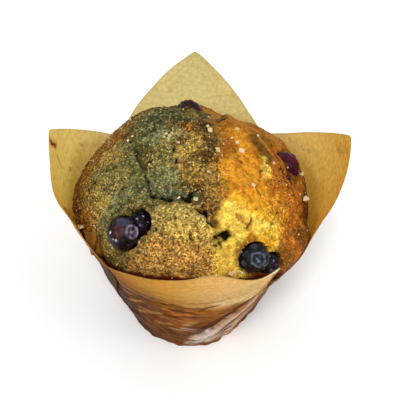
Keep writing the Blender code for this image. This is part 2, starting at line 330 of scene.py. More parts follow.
print("white paper in linear values:", [round(v, 3) for v in paint("#f4efe2")])

# %% [markdown]
# ## Where the crust changes colour
# Juice has run from the burst berries and dried green and grey in the folds. The
# left half is rough and golden brown, the right half smooth, orange, and yellow
# where the batter split last. The crust could be coloured by noise alone, but
# stains like these follow the cracks, so they are laid on as brush strokes in
# plan: colour, corner points, half width and strength, in mm, one over another.
# The drift field tears their edges, so no stroke shows as a stroke.

# %% Paints of the crust
CRUST_PAINTS = {
    "brown": "#946526", "umber": "#6a4210", "limb_shade": "#583a12", "dusk": "#5c431a", "dark_brown_and_shade": "#3e2a0e",
    "olive": "#81773f", "moss": "#5b5a31", "pine": "#3c4529", "juice": "#55562f", "juice_teal_and_shade": "#566043",
    "sage": "#76805a", "gold": "#a98a3e", "hazel": "#8e6f38", "tan": "#b2974f", "straw": "#d8b354",
    "rim": "#cf9c4c", "amber": "#b67b20", "honey": "#dc982a", "saffron": "#f3b932",
    "lemon": "#f8d75a", "ember": "#bb6e20", "brown_and_limb_shade": "#6a4016", "copper": "#a86c24",
}
print("the crust has", len(CRUST_PAINTS), "paints")

# %% Strokes of the rough, golden left half
ROUGH_STROKES = (
    ("brown", ((-34.5, -15.0), (-32.0, -5.0), (-29.5, 4.0), (-26.0, 13.0), (-17.0, 20.0)), 5.9, 0.9),
    # painted shade along the dome's left and back limbs
    ("limb_shade", ((-37.5, -6.0), (-37.5, 4.0), (-35.0, 13.0)), 2.0, 0.7),
    ("limb_shade", ((-30.0, 20.0), (-23.0, 24.0), (-15.0, 27.0), (-4.0, 29.0)), 5.0, 0.9),
    ("limb_shade", ((-39.0, -9.0), (-37.0, -15.0), (-34.0, -21.0)), 2.0, 0.8),
    ("olive", ((-27.0, -13.0), (-22.0, -19.0), (-13.0, -21.0)), 7.0, 0.85),
    ("olive", ((-22.0, -2.0), (-20.0, -12.0)), 4.5, 0.8),
    ("olive", ((-28.0, -25.0), (-20.0, -35.0), (-12.0, -34.0)), 3.0, 0.7),
    ("gold", ((-26.0, -2.0), (-25.0, -8.5)), 2.4, 0.9),
    ("gold", ((-32.0, -13.0), (-32.0, -20.0), (-27.0, -25.0)), 2.8, 0.7),
    ("gold", ((-28.0, -19.0), (-27.0, -22.0)), 2.2, 0.8),
    ("copper", ((-34.5, -17.0), (-32.5, -23.0), (-29.0, -29.0)), 2.2, 0.8),
    ("moss", ((-15.0, 13.0), (-8.0, 17.0), (0.0, 17.0), (6.0, 19.0)), 6.0, 0.9),
    ("hazel", ((8.0, 18.0), (7.0, 12.0), (7.5, 2.0), (8.0, -6.0)), 2.4, 0.9),
    ("copper", ((8.0, -6.0), (9.5, -13.0)), 2.4, 0.9),
    ("dusk", ((1.0, 12.0), (4.0, 8.0), (4.5, 2.0), (5.0, -5.0), (4.0, -12.0)), 3.4, 0.9),
    ("olive", ((-9.0, -4.0), (-9.0, -13.0), (-6.0, -20.0)), 4.4, 0.9),
    ("gold", ((0.5, -2.0), (-1.5, -7.0), (-3.0, -9.0)), 2.8, 1.0),
    ("hazel", ((-4.0, -13.0), (0.0, -12.0)), 2.2, 0.8),
    ("gold", ((-2.0, -16.0), (4.0, -16.0), (8.0, -18.0)), 2.4, 0.6),
    ("hazel", ((7.5, -15.0), (8.0, -23.0)), 2.6, 0.9),
    ("dusk", ((-3.0, -20.5), (2.0, -21.5)), 2.2, 0.6),
)
print("strokes of the rough half:", len(ROUGH_STROKES))

# %% Strokes of the dried juice, and of the pale rim in front of it
JUICE_STROKES = (
    ("moss", ((-15.0, 12.0), (-18.0, 5.0), (-19.5, -1.0)), 3.2, 0.75),
    ("juice", ((-7.0, 12.0), (-12.0, 9.0), (-13.0, 4.0)), 3.4, 1.0),
    ("juice", ((-1.0, 9.0), (-6.0, 9.0)), 3.2, 0.7),
    ("dusk", ((2.0, 11.0), (5.0, 7.0), (5.5, 3.0)), 2.6, 0.9),
    ("pine", ((-3.0, 17.0), (-9.0, 13.0), (-12.0, 8.0), (-11.0, 3.0)), 2.6, 0.75),
    ("pine", ((-6.0, 5.0), (-2.0, 8.0), (2.0, 16.0)), 1.8, 0.6),
    ("sage", ((-9.5, 2.0), (-7.5, -0.5), (-5.0, 0.5)), 2.4, 0.5),
    ("sage", ((-11.5, -15.0), (-6.0, -19.5)), 2.6, 0.5),
    ("sage", ((-27.5, -24.0), (-24.0, -20.0), (-17.0, -18.5), (-12.5, -21.0)), 2.0, 0.55),
    ("sage", ((-15.0, 0.0), (-11.0, -1.0)), 2.6, 0.7),
    ("juice", ((-13.5, 5.0), (-16.5, -3.0), (-16.5, -11.0), (-14.5, -17.0)), 2.7, 0.85),
    # dried juice with painted shade along the crack
    ("juice_teal_and_shade", ((-13.5, -19.0), (-9.0, -22.3), (-4.0, -23.6), (1.5, -23.6)), 1.5, 0.9),
    ("juice", ((-26.0, -9.5), (-21.0, -8.5), (-17.0, -10.0)), 1.9, 0.7),
    ("juice", ((-26.0, -24.0), (-21.0, -21.5), (-15.0, -21.0), (-11.0, -25.0)), 2.2, 0.8),
    ("tan", ((-9.0, -28.5), (-2.0, -29.0), (3.0, -30.0)), 3.2, 1.0),
    ("straw", ((-5.0, -32.0), (5.0, -33.0)), 2.6, 1.0),
    ("rim", ((-17.0, -35.5), (-5.0, -37.0), (5.0, -36.8)), 2.6, 1.0),
)
print("strokes of the juice:", len(JUICE_STROKES))

# %% Strokes of the smooth right half
RIGHT_SIDE = ((14.5, 18.0), (23.0, 10.0), (26.0, -10.0), (23.0, -22.0))
RIGHT_BORDER = ((14.0, 8.0), (14.5, -8.0), (15.0, -22.0))
SMOOTH_STROKES = (
    ("amber", RIGHT_SIDE, 13.0, 1.0),
    ("amber", RIGHT_BORDER, 3.9, 1.0),
    ("copper", ((10.5, 16.0), (12.5, 11.0)), 2.6, 0.9),
    ("copper", ((11.8, 2.0), (12.2, -5.0)), 1.7, 0.8),
    ("copper", ((16.0, 21.0), (25.0, 17.0)), 3.4, 0.8),
    ("honey", ((15.5, 6.0), (16.5, -2.0), (17.0, -12.0)), 2.7, 1.0),
    ("honey", ((12.0, -14.0), (20.0, -17.0), (26.0, -18.0)), 4.6, 1.0),
    ("honey", ((20.0, -7.0), (21.5, -12.0)), 3.0, 0.9),
    ("lemon", ((24.6, -4.0), (23.6, -10.5)), 1.6, 0.85),
    # painted shade in the pore at the right
    ("dark_brown_and_shade", ((25.0, -4.6), (25.7, -5.4)), 0.5, 0.9),
    ("saffron", ((14.2, -23.5), (18.0, -25.0), (24.0, -25.3)), 3.0, 1.0),
    ("lemon", ((11.5, -26.5), (12.0, -31.0), (9.5, -37.0)), 3.2, 1.0),
    ("lemon", ((14.3, -27.0), (14.6, -31.5)), 2.2, 0.9),
    ("lemon", ((11.0, -36.5), (16.0, -37.5)), 1.7, 0.9),
    ("lemon", ((18.5, -26.5), (21.5, -28.0), (24.5, -27.0)), 2.2, 0.9),
    ("saffron", ((23.0, -30.0), (27.0, -27.0)), 1.8, 0.8),
    ("ember", ((15.0, -28.7), (15.4, -29.0)), 0.8, 0.7),
    ("moss", ((1.0, 21.0), (4.0, 16.0), (4.5, 12.0)), 2.7, 0.9),
    ("hazel", ((8.0, 17.0), (8.0, 10.0)), 1.8, 0.8),
    # painted shade along a crack, then a dark patch of crust, then painted shade at the back left limb
    ("dark_brown_and_shade", ((9.2, 14.0), (10.6, 18.0), (12.5, 21.0), (17.0, 21.5)), 0.9, 0.8),
    ("dark_brown_and_shade", ((4.0, 9.0), (4.5, 4.0)), 2.2, 0.8),
    ("dark_brown_and_shade", ((-31.0, 17.0), (-24.0, 22.0), (-14.0, 26.0)), 3.0, 0.8),
    ("ember", ((28.5, 2.0), (29.0, -8.0), (28.5, -17.0)), 2.9, 0.9),
    ("ember", ((33.5, -10.0), (33.0, -17.0), (30.5, -25.0)), 3.4, 0.95),
    ("honey", ((27.0, -23.0), (28.5, -19.0)), 2.0, 0.8),
    ("dusk", ((21.0, 3.5), (22.5, 1.0), (25.5, -1.5)), 2.0, 0.8),
    # darker brown crust
    ("brown_and_limb_shade", ((23.0, 8.5), (26.0, 7.0)), 2.0, 0.6),
    ("gold", ((22.3, 6.3), (24.5, 5.2)), 0.7, 0.5),
    # painted shade along the right limb and the front right rim
    ("brown_and_limb_shade", ((34.5, 8.0), (33.5, 0.0), (33.0, -6.0)), 2.2, 0.8),
    ("brown_and_limb_shade", ((38.9, 3.0), (38.4, -8.0), (37.4, -15.0), (33.9, -23.0)), 1.3, 0.8),
    ("brown_and_limb_shade", ((29.0, -28.5), (24.0, -33.0)), 1.8, 0.7),
)
CRUST_STROKES = ROUGH_STROKES + JUICE_STROKES + SMOOTH_STROKES
print("strokes of the crust in all:", len(CRUST_STROKES))

# %% Brushes that lay the strokes
STROKE_FULL = 0.6      # in half widths of the stroke
STROKE_GONE = 1.45


def path_share(away, half):
    """Strength of a stroke at a distance: full inside 0.6 half widths, gone at 1.45."""
    return soft_step(STROKE_GONE * half, STROKE_FULL * half, away)


def lay_strokes(colour, x, y, strokes, paints):
    """Colours of points after all strokes: each one blends its paint in by its
    strength times its share at the point's distance from its path."""
    for name, corners, half, full in strokes:
        share = (full * path_share(path_distance(x, y, corners), half))[..., None]
        colour = colour + share * (tone(paints[name]) - colour)
    return colour


def zone_share(x, y, names):
    """Strongest share, 0 to 1, of the strokes that carry one of the named paints."""
    chosen = [stroke for stroke in CRUST_STROKES if stroke[0] in names]
    shares = [full * path_share(path_distance(x, y, corners), half) for _, corners, half, full in chosen]
    return np.max(shares, 0)


print("a stroke of half width 2 mm is gone at", STROKE_GONE * 2.0, "mm")

# %% [markdown]
# ## Random fields
# Bread, paper and fruit are never regular, yet their unevenness has a size: a
# crumb is about a millimetre, a swelling of the crust about a centimetre. Two
# random fields give this. The first drifts smoothly between random values on a
# lattice. The second measures the distance to the nearest of scattered seeds,
# which makes grains and pores. Both are seeded, so each run gives the same one.
# In a call such as drift(*spot, 5.0, 21), 5.0 is the size in mm and 21 the seed.

# %% Two random fields
DRIFT_CELLS = 32        # the lattice repeats after this many cells
GRAIN_CELLS = 24


def drift(x, y, z, size, seed):
    """Smooth random field from -1 to 1: random values on a cubic lattice of the
    given spacing in mm, blended along each axis with 6 t^5 - 15 t^4 + 10 t^3."""
    table = np.random.default_rng(seed).uniform(-1.0, 1.0, (DRIFT_CELLS,) * 3)
    total = np.zeros(np.shape(x))
    whole = [np.floor(p / size).astype(int) for p in (x, y, z)]
    part = [p / size - w for p, w in zip((x, y, z), whole)]
    blend = [t ** 3 * (t * (6.0 * t - 15.0) + 10.0) for t in part]
    for i in (0, 1):
        for j in (0, 1):
            for k in (0, 1):
                share = np.abs(1 - i - blend[0]) * np.abs(1 - j - blend[1]) * np.abs(1 - k - blend[2])
                cell = [(w + step) % DRIFT_CELLS for w, step in zip(whole, (i, j, k))]
                total += share * table[cell[0], cell[1], cell[2]]
    return total


def grains(x, y, z, size, seed):
    """Distance to the nearest seed, in lattice steps: every cell of a cubic
    lattice holds one random seed, and the 27 cells around a point are searched."""
    table = np.random.default_rng(seed).uniform(0.0, 1.0, (GRAIN_CELLS,) * 3 + (3,))
    place = np.stack([x, y, z], -1) / size
    whole = np.floor(place).astype(int)
    near = np.full(np.shape(x), 9.0)
    steps = [(i, j, k) for i in (-1, 0, 1) for j in (-1, 0, 1) for k in (-1, 0, 1)]
    for step in steps:
        cell = whole + np.array(step)
        wrapped = cell % GRAIN_CELLS
        seed_place = cell + table[wrapped[..., 0], wrapped[..., 1], wrapped[..., 2]]
        near = np.minimum(near, np.sqrt(((place - seed_place) ** 2).sum(-1)))
    return near


sample = np.linspace(0.0, 60.0, 5000)
sample_drift = drift(sample, sample * 0.7, 0 * sample, 2.0, 1)
print("spread of the drift field:", round(float(sample_drift.std()), 2))

# %% Colour of every point of the crust, and where it is smooth
SMOOTH_CRUST = (
    (RIGHT_SIDE, 13.0, 1.0),
    (RIGHT_BORDER, 3.9, 1.0),
    (((10.5, -27.0), (12.0, -31.0), (11.0, -36.0)), 3.8, 0.88),
)
GRAINY_PATCH = (((28.0, -6.0), (31.0, -15.0), (27.0, -27.0)), 5.5, 0.55)
spot = (crust_x, crust_y, crust_z)
torn_x = crust_x + 1.4 * drift(*spot, 5.0, 21) + 1.0 * drift(*spot, 1.6, 22)
torn_y = crust_y + 1.4 * drift(*spot, 5.0, 23) + 1.0 * drift(*spot, 1.6, 24)
patchy = soft_step(-0.5, 0.5, drift(*spot, 4.2, 25))[..., None]
first_coat = tone(CRUST_PAINTS["umber"]) * (1.0 - patchy) + tone(CRUST_PAINTS["brown"]) * patchy
crust_colour = lay_strokes(first_coat, torn_x, torn_y, CRUST_STROKES, CRUST_PAINTS)
smooth_side = np.zeros(crust_z.shape)
for corners, half, full in SMOOTH_CRUST:
    smooth_side = np.maximum(smooth_side, full * path_share(path_distance(torn_x, torn_y, corners), half))
corners, half, full = GRAINY_PATCH
smooth_side = smooth_side * (1.0 - full * path_share(path_distance(torn_x, torn_y, corners), half))
print("smooth crust covers", round(100.0 * float((smooth_side > 0.5).mean())), "% of the grid")

# %% [markdown]
# ## Relief of the crust
# A muffin top is lumpy at the scale of a centimetre, cracked where it rose, and
# covered with grains of about a millimetre. Smooth crust has hardly any grain.
# Each of these is a height added along the outward direction. A crack is written
# as its path in plan, half width and depth, and a pore as place, half width, depth.
# It could be sculpted by hand, but heights that are added up can each be changed.

# %% Narrow cracks and pores
DEEP_CRACKS = (
    (((-18.1, -4.0), (-15.2, -11.0), (-13.4, -16.6), (-13.0, -20.3)), 0.45, 0.7),
    (((-12.6, -21.2), (-9.2, -22.6), (-6.2, -23.8)), 0.5, 1.2),
    (((-3.9, -23.4), (-1.6, -23.6), (0.2, -23.5)), 0.55, 1.6),
    (((1.6, -26.0), (3.0, -27.0), (4.9, -27.8)), 0.32, 1.5),
    (((4.6, -27.9), (5.0, -29.4), (6.6, -31.0)), 0.28, 1.5),
    (((7.6, -33.8), (9.5, -33.1), (11.4, -32.2)), 0.75, 1.5),
    (((8.2, -34.2), (9.0, -35.0)), 0.35, 1.2),
    (((8.0, -9.2), (8.2, -19.2)), 0.5, 0.5),
    (((18.8, -26.3), (18.2, -27.4), (17.3, -28.9)), 0.35, 0.8),
    (((-33.8, -12.6), (-31.0, -10.8)), 0.5, 1.0),
    (((-23.0, -18.4), (-20.6, -17.7)), 0.45, 1.0),
    (((-27.5, -9.4), (-25.5, -9.9)), 0.5, 0.9),
    (((8.6, 13.0), (9.4, 16.0)), 0.7, 0.9),
    (((17.5, -12.2), (20.5, -16.2), (21.5, -18.7)), 0.4, 0.5),
    (((12.5, -1.8), (14.0, -6.8), (16.5, -10.3)), 0.4, 0.45),
    (((26.5, 6.5), (29.0, -3.0), (31.5, -10.0)), 0.5, 0.8),
    (((29.5, 5.0), (32.0, -5.0), (34.0, -12.0)), 0.5, 0.8),
    (((21.0, -4.0), (22.5, -9.0), (21.5, -14.0)), 0.4, 0.5),
    (((24.0, -27.5), (27.0, -22.0), (29.5, -19.0)), 0.4, 0.5),
)
PORES = (
    (25.2, -4.6, 0.8, 1.5), (-19.4, 0.3, 0.6, 1.0), (-13.0, -10.4, 0.8, 0.9), (-6.6, 3.6, 0.6, 0.8),
    (-4.4, -11.0, 0.5, 0.9), (0.0, -33.8, 0.6, 1.0), (-1.6, -30.6, 0.5, 0.9), (2.3, -35.4, 0.5, 0.9),
    (-12.0, 3.0, 0.5, 0.8), (-3.0, -2.2, 0.5, 0.7), (-22.0, 6.5, 0.5, 0.7), (6.0, 4.0, 0.5, 0.7),
    (-9.0, -14.0, 0.5, 0.7), (-28.0, -17.0, 0.5, 0.7), (4.5, -33.8, 0.45, 0.9), (13.0, 4.5, 0.4, 0.4),
    (-1.0, -13.5, 0.5, 0.8), (1.5, -18.0, 0.5, 0.8), (-5.5, -7.0, 0.45, 0.7), (-10.5, -31.5, 0.5, 0.9),
    (-5.0, -34.5, 0.45, 0.9), (3.0, -8.0, 0.45, 0.7), (-24.5, -5.0, 0.45, 0.7), (17.0, -20.5, 0.45, 0.5),
)
print("cracks:", len(DEEP_CRACKS), "pores:", len(PORES))


# %% Depth of the cracks and pores
def deep_places(x, y):
    """Depth in mm of the narrow cracks and pores: bell curves about each path."""
    depth = np.zeros(np.shape(x))
    for corners, half, deep in DEEP_CRACKS:
        depth = np.maximum(depth, deep * bell(path_distance(x, y, corners), half))
    for px, py, half, deep in PORES:
        depth = np.maximum(depth, deep * np.exp(-(((x - px) ** 2 + (y - py) ** 2) / half ** 2)))
    return depth


wavy_x = crust_x + 0.75 * drift(*spot, 1.5, 31)
wavy_y = crust_y + 0.75 * drift(*spot, 1.5, 32)
broken = 0.5 + 0.6 * soft_step(-0.35, 0.25, drift(*spot, 1.7, 33))
on_dome = soft_step(LIP_HEIGHT - 0.5, LIP_HEIGHT + 3.0, crust_z)
deep = deep_places(wavy_x, wavy_y) * broken * on_dome
wet_path = zone_share(torn_x, torn_y, ("juice", "moss", "sage", "juice_teal_and_shade", "pine"))
grainy = (1.0 - 0.8 * smooth_side) * (1.0 - 0.25 * wet_path)
print("deepest crack:", round(float(deep.max()), 2), "mm")

# %% Lumps, grains and pits
lumps = 0.55 * drift(*spot, 7.0, 41) + 0.30 * drift(*spot, 3.2, 42)
folds = np.abs(drift(*spot, 4.6, 43))
lumps = lumps - 0.45 * bell(folds, 0.10) * (0.4 + 0.6 * grainy)
bumps = 0.62 - grains(*spot, 1.25, 44)
fine_bumps = 0.6 - grains(*spot, 0.7, 45)
pits = soft_step(0.26, 0.12, grains(*spot, 2.6, 46)) * grainy * on_dome
pebbles = grains(*spot, 2.9, 47)
veins = soft_step(0.55, 0.86, pebbles) * smooth_side * on_dome
grain_relief = 0.30 * bumps + 0.24 * fine_bumps
relief = lumps + grainy * grain_relief - 0.45 * pits - 0.22 * veins - deep
azimuth = np.degrees(column_angle)[None, :] + 0.0 * crust_z
# inside the paper the crumb is pressed smooth, except where the paper dips at the right
DIP_DIRECTION = 318.0
at_dip = soft_step(38.0, 20.0, np.abs(turn(azimuth - DIP_DIRECTION)))
in_cup = soft_step(54.5, 52.0, crust_z) * (1.0 - at_dip)
relief = relief * (1.0 - 0.85 * in_cup) * soft_step(0.5, 6.0, crust_z)
print("relief from", round(float(relief.min()), 2), "to", round(float(relief.max()), 2), "mm")

# %% [markdown]
# ## Ledge, overhang and dent at the lip
# Three things happen where the dough meets the paper. On the left it rose once,
# set, and rose again, which leaves a ledge under a groove. On the right it swelled
# over the low edge of the paper. At the front left a fold of paper lies on it.
# Two more places, at the front left and at the foot on the right, give way where
# the paper is dented. Extra meshes could be laid on, but their seams would show, so
# each is a window in direction and height that moves the crust in or out.

# %% Ledge on the left, dent under the fold, two pressed places
GROOVE_HEIGHT = 58.0
LEDGE_HEIGHT = 55.2
DENT = 1.6             # how far the crumb gives way behind a dent in the paper
left_window = window(azimuth, 142.0, 156.0, 200.0, 212.0)
groove = bell(crust_z - GROOVE_HEIGHT - 0.4 * drift(*spot, 4.0, 48), 0.75) * left_window
ledge = bell(crust_z - LEDGE_HEIGHT, 1.7) * left_window
relief = relief + 0.9 * ledge - 0.9 * groove
under_fold = window(azimuth, 203.0, 208.0, 224.0, 229.0) * soft_step(66.5, 63.0, crust_z)
relief = relief * (1.0 - 0.8 * under_fold) - 0.9 * under_fold * soft_step(46.0, 50.0, crust_z)
front_left_dent = window(azimuth, 196.0, 205.0, 226.0, 237.0) * window(crust_z, 24.0, 40.0, 47.0, 53.0)
foot_dent = window(azimuth, 284.0, 299.0, 325.0, 349.0) * soft_step(33.0, 8.0, crust_z)
relief = relief - DENT * front_left_dent - DENT * foot_dent
crust = np.stack(spot) + crust_facing * relief
print("relief with ledge and dents from", round(float(relief.min()), 2), "mm")

# %% Overhang on the right
OVER_PAPER = 0.25      # how far the swollen crust stands out past the paper
reach = np.hypot(crust[0], crust[1])
wanted = wall_radius(crust[2], azimuth) + OVER_PAPER + 0.35 * drift(*spot, 3.0, 49)
overhang = window(azimuth, 310.5, 315.0, 333.0, 341.0) * window(crust[2], 43.5, 46.5, 54.0, 60.0)
push_out = 1.0 + overhang * np.maximum(wanted - reach, 0.0) / reach
crust = crust * np.stack([push_out, push_out, np.ones_like(push_out)])
print("the overhang moves out by", round(float(((push_out - 1.0) * reach).max()), 2), "mm")

# %% [markdown]
# ## Pockets of the berries
# A berry sinks into the batter, which bakes round it. The crust is pushed in to
# the far side of each ball, so the fruit sits in a pocket with a torn edge. Two
# berries came up late and lie half under the crust: there it is raised over the
# ball instead, and only pushed in where the berry is bare. A boolean cut would
# leave a sharp rim and break the even grid.


# %% Pocket and blister
def press_pocket(points, facing, centre, radius, share=1.0):
    """Move points inside a ball along the inward direction onto its far side.
    For an offset w from the centre, the way is w.n + sqrt(r^2 - w^2 + (w.n)^2)."""
    offset = points - np.array(centre)[:, None, None]
    along = (offset * facing).sum(0)
    across = (offset ** 2).sum(0) - along ** 2
    inside = across < radius ** 2
    way = np.where(inside, along + np.sqrt(np.maximum(radius ** 2 - across, 0.0)), 0.0)
    return points - facing * np.maximum(way, 0.0) * share


def raise_blister(points, facing, centre, radius, share):
    """Move points inside a ball along the outward direction onto its near side:
    the same way with the signs turned, times a share."""
    offset = points - np.array(centre)[:, None, None]
    along = (offset * facing).sum(0)
    across = (offset ** 2).sum(0) - along ** 2
    way = np.where(across < radius ** 2, np.sqrt(np.maximum(radius ** 2 - across, 0.0)) - along, 0.0)
    return points + facing * np.maximum(way, 0.0) * share


print("berries that lie open:", [name for name, berry in BERRIES.items() if "burst" in berry])

# %% Push the crust in under each berry
BLISTER = 0.45          # mm of crust over a half covered berry
ragged = 0.3 * drift(*spot, 1.0, 51)
pocket_shade = np.zeros(crust_z.shape)
for name, berry in BERRIES.items():
    before = crust.copy()
    if "covered" in berry:
        way_x, way_y = berry["covered"]
        off_x = crust[0] - berry["centre"][0]
        off_y = crust[1] - berry["centre"][1]
        side = (off_x * way_x + off_y * way_y) / berry["radius"]
        bare = soft_step(-0.5, -0.25, side + 0.15 * drift(*spot, 2.0, 52))
        crust = raise_blister(crust, crust_facing, berry["centre"], berry["radius"] + BLISTER, 1.0 - bare)
        before = crust.copy()
        crust = press_pocket(crust, crust_facing, berry["centre"], berry["radius"] + 0.1, bare)
    else:
        crust = press_pocket(crust, crust_facing, berry["centre"], berry["radius"] + 0.35 + ragged)
        crust = press_pocket(crust, crust_facing, berry["burst"], berry["burst_radius"] + 0.2 + ragged)
    # the crust round each pocket is marked for painted shade
    pocket_shade = np.maximum(pocket_shade, soft_step(0.2, 1.4, np.abs(crust - before).max(0)))
print("pockets cover", int((pocket_shade > 0.5).sum()), "points of the grid")

# %% Where the crust is burnt or shaded by the paper
CONTACT_DIRECTIONS = (0, 215, 225, 237, 249, 256, 265, 274, 283, 292, 302, 310, 330, 360)
CONTACT_HEIGHTS = (40, 50, 52.7, 54.8, 56.3, 57.1, 57.7, 57.5, 56.7, 54.6, 51.1, 47.1, 40, 40)
BROWN_SIDE = -25.0        # direction that browned most
PALE_FRONT = 262.0        # direction that browned least
contact = np.interp(azimuth, CONTACT_DIRECTIONS, CONTACT_HEIGHTS)
# painted shade: the crust just behind the paper's top edge is darkened
paper_edge_shade = soft_step(1.7, 0.5, crust[2] - contact - 0.5 * drift(*spot, 2.5, 63))
low_notch = window(azimuth, 300.0, 312.0, 338.0, 350.0)
burnt = soft_step(61.0, 54.5, crust[2] + 5.5 * low_notch + 1.2 * drift(*spot, 3.0, 61))
burnt = burnt * (0.35 + 0.65 * soft_step(105.0, 60.0, np.abs(turn(azimuth - BROWN_SIDE))))
burnt = burnt * (1.0 - 0.9 * soft_step(50.0, 35.0, np.abs(turn(azimuth - PALE_FRONT))))
scorched = soft_step(55.4, 53.2, crust[2] + 5.0 * low_notch + 0.5 * drift(*spot, 2.0, 62))
print("burnt share of the crust:", round(float(burnt.mean()), 2))

# %% Marks that the crust material reads
PALE_GREEN = "#a8ab72"
# where juice dried, the colour is mottled and dotted with pale green
green_blobs = soft_step(0.30, 0.75, drift(*spot, 1.0, 64))
mottle = 1.1 * wet_path * drift(*spot, 1.5, 65) + 0.30 * smooth_side * drift(*spot, 1.8, 66)
crust_colour = crust_colour * (2.0 ** mottle)[..., None]
blob_share = (0.6 * wet_path * green_blobs)[..., None]
crust_colour = crust_colour + blob_share * (tone(PALE_GREEN) - crust_colour)
# the deep mark holds painted shade in cracks, pores, pits, the groove and round the berry pockets, and the
# valley mark holds painted shade between grains
crust_marks = {
    "deep": np.clip(np.maximum(deep / 0.8, 0.85 * pocket_shade) + 0.55 * pits + 0.55 * groove, 0.0, 1.0),
    "grain": np.clip(grainy, 0.0, 1.0),
    "valley_shade": np.clip(0.5 - 1.3 * grain_relief, 0.0, 1.0),
    "vein": veins,
    "burnt": burnt,
    "scorch_and_shade": np.maximum(scorched, paper_edge_shade),
}
print("crust marks:", sorted(crust_marks))

# %% [markdown]
# ## Nodes
# A material is a small network of nodes, which could be laid out by hand in the
# shader editor. Here one function adds a node, sets its own choices, and fills or
# links its sockets. Five short ones stand for the nodes that come back in every
# finish, so each finish below reads as a list.


# %% One node adder
def add_node(tree, kind, choices, sockets, output=0):
    """New shader node of the given kind. Choices are its own settings. Sockets
    are numbers or colours to set, or outputs of other nodes to link."""
    node = tree.nodes.new("ShaderNode" + kind)
    for key, value in choices.items():
        setattr(node, key, value)
    for key, value in sockets.items():
        if isinstance(value, bpy.types.NodeSocket):
            tree.links.new(value, node.inputs[key])
        else:
            node.inputs[key].default_value = value
    return node.outputs[output]


def new_finish(name):
    """Empty material with its principled shader: material, tree and shader."""
    material = bpy.data.materials.new(name)
    material.use_nodes = True
    return material, material.node_tree, material.node_tree.nodes["Principled BSDF"]


PER_MM = 1000.0      # noise scale of a pattern one millimetre wide
print("a 2 mm pattern has scale", PER_MM / 2.0)


# %% Nodes that every finish uses
def noise(tree, place, scale, detail, **shape):
    """Noise at a place, with its scale and how many finer layers it has."""
    return add_node(tree, "TexNoise", {}, {"Vector": place, "Scale": scale, "Detail": detail, **shape})


def read_mark(tree, name, kind="Fac"):
    """Values that the mesh keeps under a name: Fac for numbers, Color for colours."""
    return add_node(tree, "Attribute", {"attribute_name": name}, {}, kind)


def remap(tree, value, start, end, low, high):
    """Value moved along a line, so that start becomes low and end becomes high. Past
    both ends it stays at low or high."""
    return add_node(tree, "MapRange", {}, {"Value": value, "From Min": start, "From Max": end,
                                           "To Min": low, "To Max": high})


def calculate(tree, operation, *terms):
    """One step of arithmetic with numbers or outputs of other nodes."""
    return add_node(tree, "Math", {"operation": operation}, dict(enumerate(terms)))


def blend_colours(tree, share, under, over, way="MIX"):
    """A share of one colour laid over another, or multiplied into it."""
    choices = {"data_type": "RGBA", "blend_type": way}
    return add_node(tree, "Mix", choices, {0: share, 6: under, 7: over}, 2)


print("shared node makers:", [f.__name__ for f in (noise, read_mark, remap, calculate, blend_colours)])

# %% [markdown]
# ## Crust material
# Baked wheat crust is a matt, sugary skin. Sugar and egg brown in the oven, so its
# colour runs from pale crumb to orange and dark brown, and the grains catch small
# glints, which pale specks paint. One noise alone looks like camouflage, because real
# crust varies at two scales: specks of half a millimetre on patches of two. Both
# scale the strokes' colours by a power of two, which keeps the hue, and painted shade
# deepens the gaps.

# %% Baked crust: patterns and marks
baked_crust, tree, shader = new_finish("baked_crust")
coords = add_node(tree, "TexCoord", {}, {}, "Object")
speck = noise(tree, coords, PER_MM / 0.55, 3.0, Roughness=0.6)
patch = noise(tree, coords, PER_MM / 2.0, 3.0, Roughness=0.6)
glint = noise(tree, coords, PER_MM / 0.7, 2.0, Lacunarity=2.3)
zone = read_mark(tree, "zone_colour", "Color")
grain = read_mark(tree, "grain")
valley_shade = read_mark(tree, "valley_shade")
vein = read_mark(tree, "vein")
burnt_mark = read_mark(tree, "burnt")
scorch_and_shade = read_mark(tree, "scorch_and_shade")
hollow_shade_mark = read_mark(tree, "deep")
print("patterns of the crust: specks of 0.55 mm, patches of 2 mm, glints of 0.7 mm")

# %% Baked crust: brightness
# rough crust: every crumb of half a millimetre has its own brightness, and noise
# and painted shade in the gaps between grains add to it, all as powers of two
crumb = add_node(tree, "TexVoronoi", {}, {"Vector": coords, "Scale": PER_MM / 0.46}, "Color")
crumb_parts = add_node(tree, "SeparateColor", {}, {0: crumb}, "Red").node
speck_swing = remap(tree, speck, 0.36, 0.64, -0.85, 0.55)
patch_swing = remap(tree, patch, 0.36, 0.64, -0.55, 0.4)
crumb_swing = remap(tree, crumb_parts.outputs["Red"], 0.0, 1.0, -1.25, 0.65)
gap_shade = remap(tree, valley_shade, 0.35, 0.85, 0.15, -0.5)
rough_swing = calculate(tree, "ADD", speck_swing, gap_shade)
rough_swing = calculate(tree, "ADD", rough_swing, crumb_swing)
rough_swing = calculate(tree, "MULTIPLY", rough_swing, grain)
# smooth crust: soft patches and darker veins between pebbles
patch_depth = remap(tree, grain, 0.2, 1.0, 0.4, 1.0)
patch_swing = calculate(tree, "MULTIPLY", patch_swing, patch_depth)
vein_swing = calculate(tree, "MULTIPLY_ADD", vein, -0.35, patch_swing)
swing = calculate(tree, "ADD", rough_swing, vein_swing)
factor = calculate(tree, "POWER", 2.0, swing)
print("brightness nodes so far:", len(tree.nodes))

# %% Baked crust: colour
BURNT = "#8a3d10"
TOASTED = "#c98c50"
PALE_CRUMB_AND_GLINT = "#d8c68a"
DARK_CRUMB = "#2e1f0e"
SCORCHED_AND_SHADED = "#541c0a"
HOLLOW_SHADE = "#131008"
colour = blend_colours(tree, burnt_mark, zone, paint(BURNT))
colour = blend_colours(tree, 1.0, colour, factor, "MULTIPLY")
